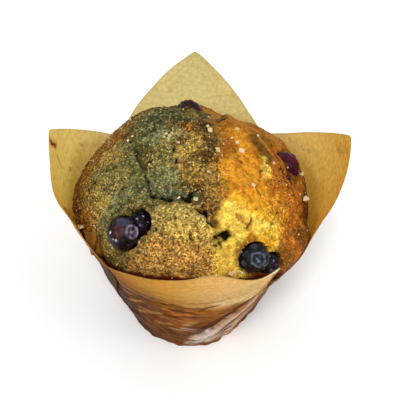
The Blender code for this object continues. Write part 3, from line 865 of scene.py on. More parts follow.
# the smooth part is toasted in soft spots of about a millimetre
toast = noise(tree, coords, PER_MM / 1.25, 3.0, Roughness=0.65, Distortion=0.5)
smooth_part = remap(tree, grain, 0.2, 1.0, 0.62, 0.0)
toast = remap(tree, toast, 0.45, 0.60, 0.0, 1.0)
toast = calculate(tree, "MULTIPLY", toast, smooth_part)
colour = blend_colours(tree, toast, colour, paint(TOASTED), "MULTIPLY")
# single pale crumbs, which also serve as painted glints, and dark crumbs of the rough part
pale_glint_specks = remap(tree, crumb_parts.outputs["Green"], 0.86, 0.92, 0.0, 0.42)
pale_glint_share = calculate(tree, "MULTIPLY", pale_glint_specks, grain)
pale_glint_share = calculate(tree, "MULTIPLY", pale_glint_share, grain)
colour = blend_colours(tree, pale_glint_share, colour, paint(PALE_CRUMB_AND_GLINT))
dark_specks = remap(tree, crumb_parts.outputs["Blue"], 0.87, 0.92, 0.0, 0.75)
dark_share = calculate(tree, "MULTIPLY", dark_specks, grain)
colour = blend_colours(tree, dark_share, colour, paint(DARK_CRUMB))
# scorched crust low on the side, with painted shade behind the paper's edge; then painted shade in the
# hollows
colour = blend_colours(tree, scorch_and_shade, colour, paint(SCORCHED_AND_SHADED))
colour = blend_colours(tree, hollow_shade_mark, colour, paint(HOLLOW_SHADE))
tree.links.new(colour, shader.inputs["Base Color"])
print("colour nodes so far:", len(tree.nodes))

# %% Baked crust: shine
# sugar and egg leave glints between matt crumbs, so the roughness is uneven; the
# IOR is near that of an oily film, and a porous skin mirrors only little light
rough = remap(tree, glint, 0.4, 0.7, 0.75, 0.4)
tree.links.new(rough, shader.inputs["Roughness"])
bump = add_node(tree, "Bump", {}, {"Height": speck, "Distance": 0.3 * MM, "Strength": 0.7})
tree.links.new(bump, shader.inputs["Normal"])
shader.inputs["IOR"].default_value = 1.45
shader.inputs["Specular IOR Level"].default_value = 0.03
print("baked crust nodes:", len(tree.nodes))

# %% [markdown]
# ## From a grid to a mesh
# Blender's mesh is a list of points and a list of faces that name them. A mesh
# could be drawn by hand or built face by face, but foreach_set copies whole arrays
# at once, which takes a moment even for a hundred thousand points. The marks that
# a material reads are stored on the points in the same way.


# %% One mesh maker for every piece
def make_piece(name, points, faces, marks, material, smooth=True):
    """Mesh object from points in mm, a list of face arrays, and named values per
    point, with one material. A mark of three columns is kept as a linear colour.
    The object stays at the origin, its place is in its mesh."""
    mesh = bpy.data.meshes.new(name)
    corners = np.concatenate([f.ravel() for f in faces]).astype(np.int32)
    sizes = np.concatenate([np.full(len(f), f.shape[1]) for f in faces])
    mesh.vertices.add(len(points))
    mesh.vertices.foreach_set("co", (np.asarray(points) * MM).astype(np.float32).ravel())
    mesh.loops.add(len(corners))
    mesh.loops.foreach_set("vertex_index", corners)
    mesh.polygons.add(len(sizes))
    mesh.polygons.foreach_set("loop_start", (np.cumsum(sizes) - sizes).astype(np.int32))
    mesh.polygons.foreach_set("use_smooth", np.full(len(sizes), smooth))
    mesh.update(calc_edges=True)
    for mark_name, values in marks.items():
        values = np.asarray(values, np.float32)
        if values.ndim == 2:
            layer = mesh.attributes.new(mark_name, "FLOAT_COLOR", "POINT")
            full = np.concatenate([values, np.ones((len(values), 1), np.float32)], 1)
            layer.data.foreach_set("color", full.ravel())
        else:
            layer = mesh.attributes.new(mark_name, "FLOAT", "POINT")
            layer.data.foreach_set("value", values.ravel())
    mesh.validate()
    mesh.materials.append(material)
    piece = bpy.data.objects.new(name, mesh)
    bpy.context.collection.objects.link(piece)
    print(name, "has", int((sizes - 2).sum()), "triangles")
    return piece


# %% Faces of a closed grid
def grid_faces(rows, columns, closed=True):
    """Quads between neighbouring rows and columns of a grid of points numbered
    row by row. A closed grid joins its last column to its first."""
    row, column = np.meshgrid(np.arange(rows - 1), np.arange(columns - (not closed)), indexing="ij")
    after = (column + 1) % columns
    quads = [row * columns + column, row * columns + after,
             (row + 1) * columns + after, (row + 1) * columns + column]
    return np.stack(quads, -1).reshape(-1, 4)


def pole_caps(rows, columns):
    """Triangles that close the first and the last row of a grid round one point
    each. Those two points are numbered after all points of the grid."""
    ring = np.arange(columns)
    after = (ring + 1) % columns
    last = (rows - 1) * columns
    first_pole = np.full(columns, rows * columns)
    return np.concatenate([np.stack([after, ring, first_pole], -1),
                           np.stack([last + ring, last + after, first_pole + 1], -1)])


print("a grid of 3 by 4 points has", len(grid_faces(3, 4)), "quads and", len(pole_caps(3, 4)), "caps")

# %% The muffin piece
rows = crust.shape[1]
crust_points = crust.reshape(3, -1).T
foot_point = [0.0, 0.0, FOOT]
top_point = [0.0, 0.0, float(crust[2, -1].mean())]
crust_points = np.concatenate([crust_points, [foot_point, top_point]])
crust_values = {}
for name, values in crust_marks.items():
    crust_values[name] = np.concatenate([values.ravel(), [values[0].mean(), values[-1].mean()]])
crust_values["zone_colour"] = np.concatenate([crust_colour.reshape(-1, 3), crust_colour[[0, -1], 0]])
crust_faces = [grid_faces(rows, COLUMNS), pole_caps(rows, COLUMNS)]
muffin_crust = make_piece("muffin_crust", crust_points, crust_faces, crust_values, baked_crust)
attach(muffin_crust, "root")
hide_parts("muffin")

# %% [markdown]
# ## The paper case
# The case is one square of greaseproof paper. Pressed round a cup, its corners
# stand up as flaps and the spare paper between them folds into a Z-shaped pleat.
# Four flaps could be modelled apart and joined, but a single sheet has no seams. It
# is followed once round: each panel ends on top of its pleat, turns back under
# itself, and turns forward again to start the next panel.

# %% Fold lines, top edges and pleats
SHEET = 0.14              # real thickness of the paper
HEM = 0.9                 # height of the wall's lowest row; the floor starts under it
CORNER_ROUND = 0.0006     # rounds a flap's tip, as a share of its width squared
CORNER_DROP = 0.0245      # the root of that, so the tip keeps its height
# the front flap's right edge: how low its bow ends; direction, height and half width
# of its turned-up corner; its last height and the directions where it falls to it
BOW_END = 53.0
FRONT_CORNER = (303.0, 8.5, 2.4)
FRONT_END = (49.5, 304.2, 306.4)
RIGHT_NOTCH = (322.0, 9.5, 9.0)      # direction, depth and half width


def fold_angle(name, z):
    """Direction of a pleat's fold line: it turns with height up to the cone's top."""
    low, high = FOLDS[name]
    return high - (high - low) * (1.0 - np.minimum(z, CONE_TOP) / CONE_TOP)


def panel_edge(name, angle):
    """Height of a panel's top edge: from the rounded tip it falls to both folds
    as a power of the way that is left. The front flap hangs in a bow, turns up in
    a small corner at its right and ends low; the right flap has a notch beside it."""
    first, last_fold, low, high, fall_low, fall_high = PANELS[name]
    tip = FLAPS[name]["tip"]
    height = FLAPS[name]["height"]
    start = tip - abs(turn(tip - FOLDS[first][1]))
    end = tip + abs(turn(FOLDS[last_fold][1] - tip))
    share_before = np.clip((tip - angle) / (tip - start), 0.0, 1.0)
    share_behind = np.clip((angle - tip) / (end - tip), 0.0, 1.0)
    before = np.sqrt(share_before ** 2 + CORNER_ROUND) - CORNER_DROP
    behind = np.sqrt(share_behind ** 2 + CORNER_ROUND) - CORNER_DROP
    rise_low = low + (height - low) * (1.0 - np.clip(before, 0.0, 1.0)) ** fall_low
    rise_high = high + (height - high) * (1.0 - np.clip(behind, 0.0, 1.0)) ** fall_high
    if name == "front":
        rise_high = BOW_END + (height - BOW_END) * (1.0 - np.clip(behind, 0.0, 1.0) ** 1.6) ** 2
        middle, tall, half = FRONT_CORNER
        rise_high = rise_high + tall * bell(angle - middle, half)
        last, fall_start, fall_end = FRONT_END
        rise_high = rise_high + (last - rise_high) * soft_step(fall_start, fall_end, angle)
    edge = np.where(angle < tip, rise_low, rise_high)
    middle, deep, half = RIGHT_NOTCH
    return edge - (name == "right") * deep * bell(turn(angle - middle), half)


def pleat_width(z):
    """Width in degrees of the paper hidden in a pleat: narrow at the base."""
    return 1.5 + 9.0 * soft_step(4.0, 46.0, z)


print("a pleat hides", round(float(pleat_width(CONE_TOP)), 1), "degrees of paper at the cone's top")

# %% Layers of a pleat
FLAT, UNDER, BACK_OUT = 0, 1, 2      # the panel, then the two turns of its pleat


def fold_layer(kind, part):
    """How far out of the wall a column lies, as a share of a pleat's height: a
    panel rises to 1 at its end, the turn under falls to 0, the turn out stays 0."""
    falling = 1.0 - 0.5 * soft_step(0.0, 0.25, part) - 0.5 * soft_step(0.85, 1.0, part)
    return np.where(kind == FLAT, soft_step(0.5, 0.68, part), np.where(kind == UNDER, falling, 0.0))


print("a pleat stands out by", PLEAT, "mm")

# %% The sheet as columns that run round the cup
PANEL_STEPS = 72
FOLD_STEPS = 8
WALL_STEPS = 52
FLAP_STEPS = 58


def case_grid():
    """Direction, height and layer of every point of the sheet, rows by columns,
    with the height of the top edge of each column."""
    share_up = np.concatenate([np.linspace(0.0, 1.0, WALL_STEPS, endpoint=False),
                               1.0 + np.linspace(0.0, 1.0, FLAP_STEPS)])[:, None]
    angles, heights, layers, edges = [], [], [], []
    for name, (first, last_fold, *_) in PANELS.items():
        top_start = FOLDS[first][1]
        top_end = top_start + (FOLDS[last_fold][1] - top_start) % 360.0
        tip = top_start + (FLAPS[name]["tip"] - top_start) % 360.0
        shift = tip - FLAPS[name]["tip"]
        share = np.linspace(0.0, 1.0, PANEL_STEPS)
        tip_share = (tip - top_start) / (top_end - top_start)
        share[np.argmin(np.abs(share - tip_share))] = tip_share
        back = np.linspace(0.0, 1.0, FOLD_STEPS)
        kind = np.repeat([FLAT, UNDER, BACK_OUT], [PANEL_STEPS, FOLD_STEPS, FOLD_STEPS])
        part = np.concatenate([share, back, back])[None, :]
        edge_share = np.where(kind == FLAT, part[0], 1.0)
        edge = panel_edge(name, top_start + (top_end - top_start) * edge_share - shift)
        hidden_arch = np.sin(math.pi * np.where(kind == FLAT, 0.0, part[0])) + 0.2
        edge = edge - 0.5 * np.where(kind == FLAT, 0.0, hidden_arch)
        z = np.where(share_up <= 1.0, HEM + (CONE_TOP - HEM) * share_up,
                     CONE_TOP + (edge[None, :] - CONE_TOP) * (share_up - 1.0))
        start = fold_angle(first, z)
        end = start + (fold_angle(last_fold, z) - start) % 360.0
        wide = pleat_width(z)
        angle = np.where(kind == FLAT, start + (end - start) * part,
                         np.where(kind == UNDER, end - wide * part, end - wide * (1.0 - part)))
        stand = PLEAT * soft_step(2.0, 10.0, z)
        angles.append(angle)
        heights.append(z)
        layers.append(fold_layer(kind, part) * stand)
        edges.append(edge)
    return (np.concatenate(angles, 1), np.concatenate(heights, 1),
            np.concatenate(layers, 1), np.concatenate(edges))


case_angle, case_z, case_layer, case_edge = case_grid()
print("sheet grid:", case_angle.shape, "edge from", round(float(case_edge.min()), 1), "mm")

# %% [markdown]
# ## Wrinkles of the paper
# Damp paper wrinkles: its creases hang like a curtain between two tips, its foot is
# crimped by the mould, and a doubled strip stands out at the lower right. Cloth
# simulation could give such folds by chance, but these have known places, so they
# are added to the sheet's radius as heights in mm, like the relief of the crust.

# %% Directions that the wrinkles follow
MEAN_RADIUS = 36.0        # of the cup, for lengths round it
FIELD_RADIUS = 30.0       # the random fields are read on this ring, so they close
SAG = 10.5                # most that a crease hangs down between two tips
SAG_RATE = 0.0068         # in mm per square degree, near a tip
azimuth = case_angle % 360.0
around = np.radians(turn(case_angle)) * MEAN_RADIUS
nearest_tip = np.min([np.abs(turn(case_angle - flap["tip"])) for flap in FLAPS.values()], 0)
hang = case_z - SAG * np.tanh(SAG_RATE * nearest_tip ** 2 / SAG)
round_x = FIELD_RADIUS * np.cos(np.radians(case_angle))
round_y = FIELD_RADIUS * np.sin(np.radians(case_angle))
below_edge = case_edge[None, :] - case_z
print("the creases hang up to", round(float((case_z - hang).max()), 1), "mm low between two tips")

# %% Creases, dents and crimp
PAPER_INSET = 0.22        # middle of the sheet, inside the outer face of the case
CRIMPS = 31.0             # crimps round the foot
wet_low = soft_step(52.0, 38.0, case_z)
creases = 0.14 * drift(round_x / 4.0, round_y / 4.0, hang, 1.7, 71) * (0.35 + wet_low)
creases = creases + 0.22 * drift(round_x / 3.0, round_y / 3.0, hang, 3.6, 72) * (0.4 + wet_low)
buckle = 0.35 * drift(round_x, round_y, case_z, 9.0, 73)
dents = 0.4 * bell(drift(round_x / 1.6, round_y / 1.6, hang, 3.4, 76), 0.16) * wet_low
doubled = soft_step(0.2, 0.3, case_layer) * soft_step(50.0, 42.0, case_z)
damp = soft_step(0.0, 5.0, case_z) * (1.0 - 0.55 * doubled)
crimp = 0.42 * drift(round_x, round_y, 0 * case_z, 3.1, 74)
crimp = crimp + 0.16 * np.sin(np.radians(case_angle) * CRIMPS)
crimp = (crimp - 0.12) * soft_step(11.0, 1.0, case_z)
curl = 0.35 * drift(round_x, round_y, 0 * case_z, 5.0, 75) * soft_step(3.0, 0.0, below_edge)
wrinkles = (creases + 0.3 * buckle - dents) * damp + crimp + curl
print("wrinkles stand out by at most", round(float(wrinkles.max()), 2), "mm")

# %% The doubled strip, the rolled edges and the pressed places
STRIP_DIRECTIONS = (270.0, 275.0, 280.0, 285.0, 290.0, 295.0, 300.0, 305.0, 310.0)
STRIP_HEIGHTS = (9.0, 14.0, 18.5, 21.5, 26.0, 29.5, 33.0, 36.0, 39.0)
STRIP_SLOPE = 0.64        # height off the line to distance off the line
# how far each stands out or is pressed in, in mm
STRIP_OUT, ROLL_OUT, NOTCH_OUT = 1.1, 0.63, 0.8
PRESSED_IN, FOOT_IN = 1.7, 1.5
off_line = (np.interp(azimuth, STRIP_DIRECTIONS, STRIP_HEIGHTS) - case_z) * STRIP_SLOPE
strip = window(off_line, -0.25, 0.45, 2.0, 8.5) * window(azimuth, 270.0, 276.0, 306.0, 311.0)
roll = window(azimuth, 295.0, 306.0, 324.0, 356.0) * soft_step(42.0, 48.0, case_z)
notch_roll = bell(azimuth - 319.0, 7.0) * soft_step(24.0, 40.0, case_z)
outward = wrinkles + ROLL_OUT * roll + STRIP_OUT * strip + NOTCH_OUT * notch_roll
pressed_in = window(azimuth, 196.0, 206.0, 224.0, 236.0) * window(case_z, 26.0, 45.0, 62.0, 72.0)
foot_in = window(azimuth, 286.0, 302.0, 322.0, 346.0) * soft_step(30.0, 7.0, case_z)
case_radius = wall_radius(case_z, case_angle) - PAPER_INSET + case_layer + outward
case_radius = case_radius - PRESSED_IN * pressed_in - FOOT_IN * foot_in
case_x = case_radius * np.cos(np.radians(case_angle))
case_y = case_radius * np.sin(np.radians(case_angle))
stands_out = float((case_radius - wall_radius(case_z, case_angle)).max())
print("paper stands out by at most", round(stands_out, 2), "mm")

# %% [markdown]
# ## Stains of the paper
# Butter soaks the paper up to the height of the dough and stops in an uneven line.
# The wet paper turns amber and brown and dries in streaks along its creases. Where it
# lies in a fold it carries painted sheen, and painted shade darkens its creases and
# gaps. Noise could place the stains too, but they follow the folds, so as on the
# crust named paints are laid as strokes, here in direction and height: one degree is
# about 0.6 mm along the cup.

# %% Paints of the paper, dry and wet
PAPER_PAINTS = {
    "pale": "#e6b67c", "mauve": "#8c603a", "crease_shadow": "#54290e", "golden": "#a97a3c",
    "orange": "#a96320", "amber": "#94570f", "plum": "#643a16", "lilac": "#8f7060", "frost": "#dccfc6",
    "skin": "#dcb89e", "rose": "#cfa384", "foot_highlight": "#c9b9a6", "dent_shade": "#544a42", "tea": "#935f2e",
    "gap_shadow": "#2c130a", "edge_highlight": "#f6e4c2", "fold_edge_shadow": "#4a1008", "leaf": "#8c7a3c", "copper": "#b57d33",
    "stain": "#5c1c10", "halo": "#c48a56", "speck": "#8a6a2c",
}
# the darkest dry colour, at 228 degrees, and the dark wet colours at 200 and 228 degrees are painted shade
# along the front-left pleat
DRY_AZIMUTHS = (0.0, 30.0, 50.0, 88.0, 130.0, 150.0, 180.0, 200.0,
                228.0, 245.0, 262.0, 280.0, 300.0, 311.0, 320.0, 360.0)
DRY_COLOURS = ("#c9913f", "#cc9b47", "#ceaa60", "#ceb772", "#cdb169", "#f0bf6e", "#fcc668", "#eca84c",
               "#734418", "#9c6725", "#bb8231", "#d69f5e", "#ddaa6a", "#d59d5b", "#bf7d31", "#c9913f")
WET_COLOURS = ("#824d0d", "#824d0d", "#824d0d", "#824d0d", "#824d0d", "#824d0d", "#7a460a", "#432003",
               "#532904", "#723d07", "#794104", "#7f4104", "#985f2a", "#935921", "#7e450a", "#824d0d")
# height of the butter in mm, for the same directions
SOAK_HEIGHTS = (43.0, 42.0, 42.0, 43.0, 44.0, 45.0, 47.0, 50.0,
                52.0, 47.5, 42.8, 41.5, 38.0, 38.5, 44.0, 43.0)
print("butter has risen to between", min(SOAK_HEIGHTS), "and", max(SOAK_HEIGHTS), "mm")

# %% Strokes of the soaked front
FRONT_STROKES = (
    ("mauve", ((231.0, 47.5), (243.0, 45.8), (252.0, 44.4)), 2.0, 0.9),
    ("plum", ((232.0, 12.0), (250.0, 14.5), (264.0, 13.5)), 4.6, 0.85),
    ("plum", ((264.0, 36.0), (272.0, 33.0)), 1.6, 0.6),
    # painted shade in the creases of the front panel
    ("crease_shadow", ((236.0, 48.2), (244.0, 46.4), (252.0, 44.4)), 0.55, 0.9),
    ("crease_shadow", ((256.5, 41.6), (261.0, 42.8), (265.0, 41.2)), 0.6, 1.0),
    ("crease_shadow", ((274.5, 37.6), (278.0, 40.6), (283.0, 41.2)), 0.6, 0.9),
    ("crease_shadow", ((267.0, 32.6), (272.0, 31.0), (277.0, 31.4)), 0.6, 0.7),
    ("crease_shadow", ((240.0, 35.0), (248.0, 34.0)), 0.5, 0.7),
    ("crease_shadow", ((246.0, 26.5), (256.0, 24.5)), 0.5, 0.7),
    ("tea", ((233.0, 54.0), (243.0, 51.8), (252.0, 50.4)), 0.5, 0.45),
    ("tea", ((246.0, 48.6), (256.0, 47.4), (264.0, 47.0)), 0.5, 0.4),
    ("tea", ((270.0, 45.0), (279.0, 45.6), (288.0, 46.8)), 0.5, 0.3),
    ("golden", ((231.0, 38.5), (238.0, 40.5)), 0.8, 0.9),
    ("golden", ((234.0, 33.0), (243.0, 37.5)), 0.8, 0.9),
    ("golden", ((239.0, 29.5), (252.0, 31.0)), 0.8, 0.9),
    ("golden", ((236.0, 25.0), (246.0, 28.5)), 0.8, 0.8),
    ("golden", ((246.0, 21.0), (256.0, 21.6)), 0.8, 0.8),
    ("golden", ((255.0, 18.6), (266.0, 18.6)), 0.7, 0.8),
    ("orange", ((256.0, 37.0), (261.0, 33.0), (268.0, 34.0)), 1.5, 0.8),
    ("orange", ((254.0, 27.5), (262.0, 26.5), (269.0, 29.5)), 1.8, 0.8),
    ("golden", ((266.0, 24.0), (271.0, 26.5)), 1.5, 1.0),
    ("amber", ((277.0, 36.0), (285.0, 34.2), (297.0, 34.0)), 2.5, 1.0),
    ("amber", ((276.0, 30.0), (288.0, 29.0)), 2.2, 0.9),
    ("pale", ((284.0, 43.0), (292.0, 41.5), (300.0, 39.8)), 1.8, 0.9),
)
print("strokes of the soaked front:", len(FRONT_STROKES))

# %% Strokes of the doubled strip and the foot
STRIP_STROKES = (
    ("lilac", ((265.0, 20.0), (271.0, 18.8), (275.0, 16.5)), 1.5, 0.9),
    # painted sheen on the doubled strip
    ("frost", ((275.5, 16.5), (280.0, 19.2)), 0.9, 1.0),
    # painted shadow beside the doubled strip's fold
    ("crease_shadow", ((275.0, 17.5), (280.0, 22.0), (285.0, 25.2), (290.0, 29.4), (295.0, 33.0),
              (300.0, 36.4)), 1.5, 0.8),
    # pale doubled paper with painted sheen
    ("skin", ((276.0, 10.0), (284.0, 13.5), (291.0, 18.5), (299.0, 25.0)), 4.4, 1.0),
    # more painted sheen on the strip
    ("frost", ((277.5, 12.5), (284.0, 16.5)), 2.2, 0.6),
    ("rose", ((298.0, 25.0), (303.0, 29.5), (309.0, 34.0)), 3.0, 0.95),
    # painted shadow in the gap along the strip's fold line
    ("gap_shadow", ((274.6, 15.2), (279.6, 19.9), (284.6, 23.0), (289.6, 27.5), (294.4, 31.0),
               (300.0, 34.8), (306.0, 38.0)), 0.5, 0.8),
    ("tea", ((305.0, 13.0), (313.0, 23.0), (322.0, 32.0)), 3.2, 1.0),
    # pale paper with painted sheen near the foot
    ("skin", ((300.0, 3.0), (309.0, 12.0), (318.0, 14.5), (329.0, 15.0)), 2.3, 0.85),
    # painted highlights on the greasy foot
    ("foot_highlight", ((268.0, 4.0), (278.0, 6.5), (292.0, 6.5), (302.0, 9.0)), 2.6, 0.75),
    # painted shade in dents at the foot
    ("dent_shade", ((270.0, 6.6), (276.0, 9.4)), 1.0, 0.8),
    ("dent_shade", ((279.0, 4.4), (285.0, 3.0)), 0.8, 0.8),
    ("dent_shade", ((266.0, 2.4), (272.0, 3.4)), 0.7, 0.8),
    ("stain", ((297.0, 6.0), (303.0, 8.5)), 1.2, 0.7),
    # painted shade along the front-left pleat
    ("crease_shadow", ((204.0, 2.0), (214.0, 18.0), (222.0, 34.0), (228.0, 47.0)), 1.3, 0.8),
)
print("strokes of the strip and the foot:", len(STRIP_STROKES))

# %% Strokes and specks of the flaps
FLAP_STROKES = (
    ("tea", ((308.5, 48.0), (312.0, 40.0), (318.0, 36.0)), 3.0, 0.9),
    # painted shadow in the gap beside the front flap's end
    ("gap_shadow", ((305.2, 64.0), (305.4, 56.0), (306.0, 50.0), (308.5, 44.0), (311.5, 38.5)), 0.8, 1.0),
    # painted highlight on the front flap's curled edge
    ("edge_highlight", ((297.5, 60.4), (300.3, 60.6), (303.2, 64.4)), 0.7, 1.0),
    ("leaf", ((320.0, 27.0), (332.0, 37.0)), 0.8, 0.7),
    ("copper", ((336.0, 64.0), (345.0, 73.0), (354.0, 79.0)), 2.2, 0.8),
    ("copper", ((1.0, 73.0), (8.0, 71.0)), 2.0, 0.6),
    ("copper", ((350.0, 77.5), (355.0, 78.5)), 1.6, 0.5),
    ("speck", ((22.0, 59.6), (23.6, 60.4)), 0.45, 0.9),
    ("speck", ((25.6, 59.0), (27.4, 60.0)), 0.45, 0.8),
    ("speck", ((34.6, 57.8), (36.0, 58.6)), 0.5, 0.6),
    ("speck", ((4.6, 71.4), (6.4, 70.6)), 0.7, 0.7),
    ("halo", ((175.0, 73.5), (178.0, 77.0), (183.0, 82.0)), 1.1, 0.6),
    ("stain", ((176.0, 74.4), (178.6, 77.2), (182.6, 81.6)), 0.55, 1.0),
    ("speck", ((177.0, 65.6), (177.4, 71.6)), 0.4, 0.7),
    ("speck", ((154.8, 61.6), (155.4, 62.2)), 0.5, 0.9),
    ("speck", ((170.0, 60.2), (170.6, 60.8)), 0.45, 0.8),
    ("speck", ((181.8, 61.2), (182.4, 61.8)), 0.4, 0.7),
    ("speck", ((68.0, 65.0), (70.0, 66.0)), 0.8, 0.3),
    ("speck", ((100.0, 66.0), (101.0, 68.0)), 0.7, 0.3),
    # painted shade along the left flap's folded lower edge
    ("fold_edge_shadow", ((193.0, 55.0), (196.0, 60.0), (199.5, 64.0)), 0.6, 0.7),
    ("fold_edge_shadow", ((200.0, 66.0), (203.5, 64.0), (207.0, 61.8), (210.5, 59.6)), 0.9, 0.85),
)
PAPER_STROKES = FRONT_STROKES + STRIP_STROKES + FLAP_STROKES
print("strokes of the paper in all:", len(PAPER_STROKES))


# %% Colour of every point of the sheet before the strokes
def along_azimuth(codes):
    """Linear colours between the named ones, by direction."""
    table = np.array([tone(code) for code in codes])
    return np.stack([np.interp(azimuth, DRY_AZIMUTHS, table[:, part]) for part in range(3)], -1)


case_spot = (case_x, case_y, case_z)
soak_line = np.interp(azimuth, DRY_AZIMUTHS, SOAK_HEIGHTS)
soak_line = soak_line + 1.3 * drift(*case_spot, 5.0, 82) + 0.7 * drift(*case_spot, 1.8, 83)
streaky = drift(round_x / 5.0, round_y / 5.0, hang, 1.5, 86)
wet = soft_step(7.0, -7.0, case_z - soak_line + 1.5 + 4.0 * streaky)[..., None]
sheet_colour = along_azimuth(DRY_COLOURS) * (1.0 - wet) + along_azimuth(WET_COLOURS) * wet
# painted shade: the inside of a flap is darker where it meets the crust, except over the front
contact_height = 60.5 + 5.5 * bell(azimuth - 160.0, 16.0)
crust_contact_shade = soft_step(contact_height, contact_height - 6.5, case_z + 1.5 * drift(*case_spot, 6.0, 87))
crust_contact_shade = crust_contact_shade * (1.0 - window(azimuth, 196.0, 208.0, 312.0, 322.0))
sheet_colour = sheet_colour * (1.0 - np.array([0.30, 0.38, 0.5]) * crust_contact_shade[..., None])
print("soaked share of the sheet:", round(float(wet.mean()), 2))

# %% Strokes laid on the sheet, and its marks
MM_PER_DEGREE = 0.6
MARK_SIZE = 100.0         # the sheet's own directions are kept as shares of 100 mm
# below the flaps the strokes that end at 360 degrees run on past it
direction = np.where(azimuth < 20.0, azimuth + 360.0 * (case_z < 50.0), azimuth)
stroke_x = direction * MM_PER_DEGREE + 0.35 * drift(*case_spot, 2.0, 84)
stroke_z = case_z + 0.35 * drift(*case_spot, 2.0, 85)
scaled = []
for name, corners, half, full in PAPER_STROKES:
    scaled.append((name, [(degree * MM_PER_DEGREE, z) for degree, z in corners], half, full))
sheet_colour = lay_strokes(sheet_colour, stroke_x, stroke_z, scaled, PAPER_PAINTS)
case_marks = {
    "sheet_colour": sheet_colour,
    "grease": wet[..., 0] * (1.0 - 0.85 * strip),
    "edge": soft_step(0.8, 0.1, below_edge),
    "around": around / MARK_SIZE,
    "hang": hang / MARK_SIZE,
}
print("marks of the sheet:", sorted(case_marks))

# %% [markdown]
# ## Paper material
# Unbleached greaseproof paper is thin, a little glossy and brown like straw. Where
# butter has soaked in, it turns dark amber and see-through, so the baked side
# shows. A picture of paper could be wrapped round, but it would stretch at the
# flaps. Its creases hang like a curtain between two tips, so the streaks are noise
# on the sheet's own two directions, drawn long one way and short the other.

# %% Greaseproof paper: patterns and marks
greaseproof, tree, shader = new_finish("greaseproof_paper")
coords = add_node(tree, "TexCoord", {}, {}, "Object")
around_mark = read_mark(tree, "around")
hang_mark = read_mark(tree, "hang")
sheet = add_node(tree, "CombineXYZ", {}, {"X": around_mark, "Y": hang_mark})
long_way = add_node(tree, "Mapping", {}, {"Vector": sheet, "Scale": (0.13, 1.0, 1.0)})
streaks = noise(tree, long_way, MARK_SIZE / 1.5, 4.0, Roughness=0.65, Distortion=0.4)
blot_way = add_node(tree, "Mapping", {}, {"Vector": sheet, "Scale": (0.45, 1.0, 1.0)})
blots = noise(tree, blot_way, MARK_SIZE / 3.2, 5.0, Roughness=0.65)
fibres = noise(tree, coords, PER_MM / 1.6, 4.0, Roughness=0.7)
tint = read_mark(tree, "sheet_colour", "Color")
grease = read_mark(tree, "grease")
edge = read_mark(tree, "edge")
print("patterns of the paper: streaks of 1.5 mm, blots of 3.2 mm, fibres of 1.6 mm")

# %% Greaseproof paper: colour
CUT_EDGE = "#8a6630"
# powers of two again: strong streaks and blots where it is wet, faint ones where dry
wet_streak = remap(tree, streaks, 0.36, 0.64, -1.35, 0.65)
wet_blot = remap(tree, blots, 0.36, 0.64, -0.55, 0.45)
wet_swing = calculate(tree, "ADD", wet_streak, wet_blot)
depth = remap(tree, grease, 0.0, 1.0, 0.08, 0.75)
swing = calculate(tree, "MULTIPLY", wet_swing, depth)
fleck = remap(tree, fibres, 0.35, 0.65, -0.38, 0.2)
swing = calculate(tree, "ADD", swing, fleck)
factor = calculate(tree, "POWER", 2.0, swing)
colour = blend_colours(tree, 1.0, tint, factor, "MULTIPLY")
edge_share = calculate(tree, "MULTIPLY", edge, 0.6)
colour = blend_colours(tree, edge_share, colour, paint(CUT_EDGE))
tree.links.new(colour, shader.inputs["Base Color"])
print("colour nodes so far:", len(tree.nodes))

# %% Greaseproof paper: shine and thinness
# wet paper shines more; dry paper is thin enough for light to come through, which
# subsurface scattering gives; the IOR is that of cellulose
gloss = remap(tree, grease, 0.0, 1.0, 0.7, 0.45)
tree.links.new(gloss, shader.inputs["Roughness"])
bump = add_node(tree, "Bump", {}, {"Height": swing, "Distance": 0.18 * MM, "Strength": 0.5})
tree.links.new(bump, shader.inputs["Normal"])
shader.inputs["IOR"].default_value = 1.5
shader.inputs["Specular IOR Level"].default_value = 0.02
shader.inputs["Subsurface Radius"].default_value = (1.0, 0.8, 0.5)
shader.inputs["Subsurface Scale"].default_value = 2.0 * MM
thin = remap(tree, grease, 0.0, 1.0, 0.5, 0.0)
tree.links.new(thin, shader.inputs["Subsurface Weight"])
print("greaseproof paper nodes:", len(tree.nodes))

# %% The case piece, with its floor
FLOOR_HEIGHT = 0.1
FOOT_WAVES = 23.0


def thicken(piece):
    """Give a sheet the paper's thickness, half of it to each side."""
    solid = piece.modifiers.new("thickness", "SOLIDIFY")
    solid.thickness = SHEET * MM
    solid.offset = 0.0


sheet_columns = case_z.shape[1]
floor_share = np.array([0.04, 0.2, 0.4, 0.6, 0.8, 0.93, 1.0])[:, None]
foot_angle = np.radians(case_angle[:1])
foot_radius = (case_radius[:1] - 0.3) * floor_share
floor_z = FLOOR_HEIGHT + 0.05 * np.sin(foot_angle * FOOT_WAVES) * floor_share ** 3
floor_ring = np.stack([foot_radius * np.cos(foot_angle), foot_radius * np.sin(foot_angle),
                       floor_z + 0.0 * foot_angle])
wall = np.stack([case_x, case_y, case_z])
case_points = np.concatenate([floor_ring, wall], 1)
middle = case_points.shape[1] * sheet_columns
ring = np.arange(sheet_columns)
cap = np.stack([(ring + 1) % sheet_columns, ring, np.full(sheet_columns, middle)], -1)
flat_points = np.concatenate([case_points.reshape(3, -1).T, [[0.0, 0.0, FLOOR_HEIGHT]]])
case_values = {}
for name, values in case_marks.items():
    full = np.concatenate([np.repeat(values[:1], len(floor_share), 0), values])
    full = full.reshape(-1, 3) if values.ndim == 3 else full.ravel()
    case_values[name] = np.concatenate([full, full[:1]])
case_faces = [grid_faces(case_points.shape[1], sheet_columns), cap]
tulip_case = make_piece("tulip_case", flat_points, case_faces, case_values, greaseproof)
thicken(tulip_case)
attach(tulip_case, "root")
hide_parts("paper_case")

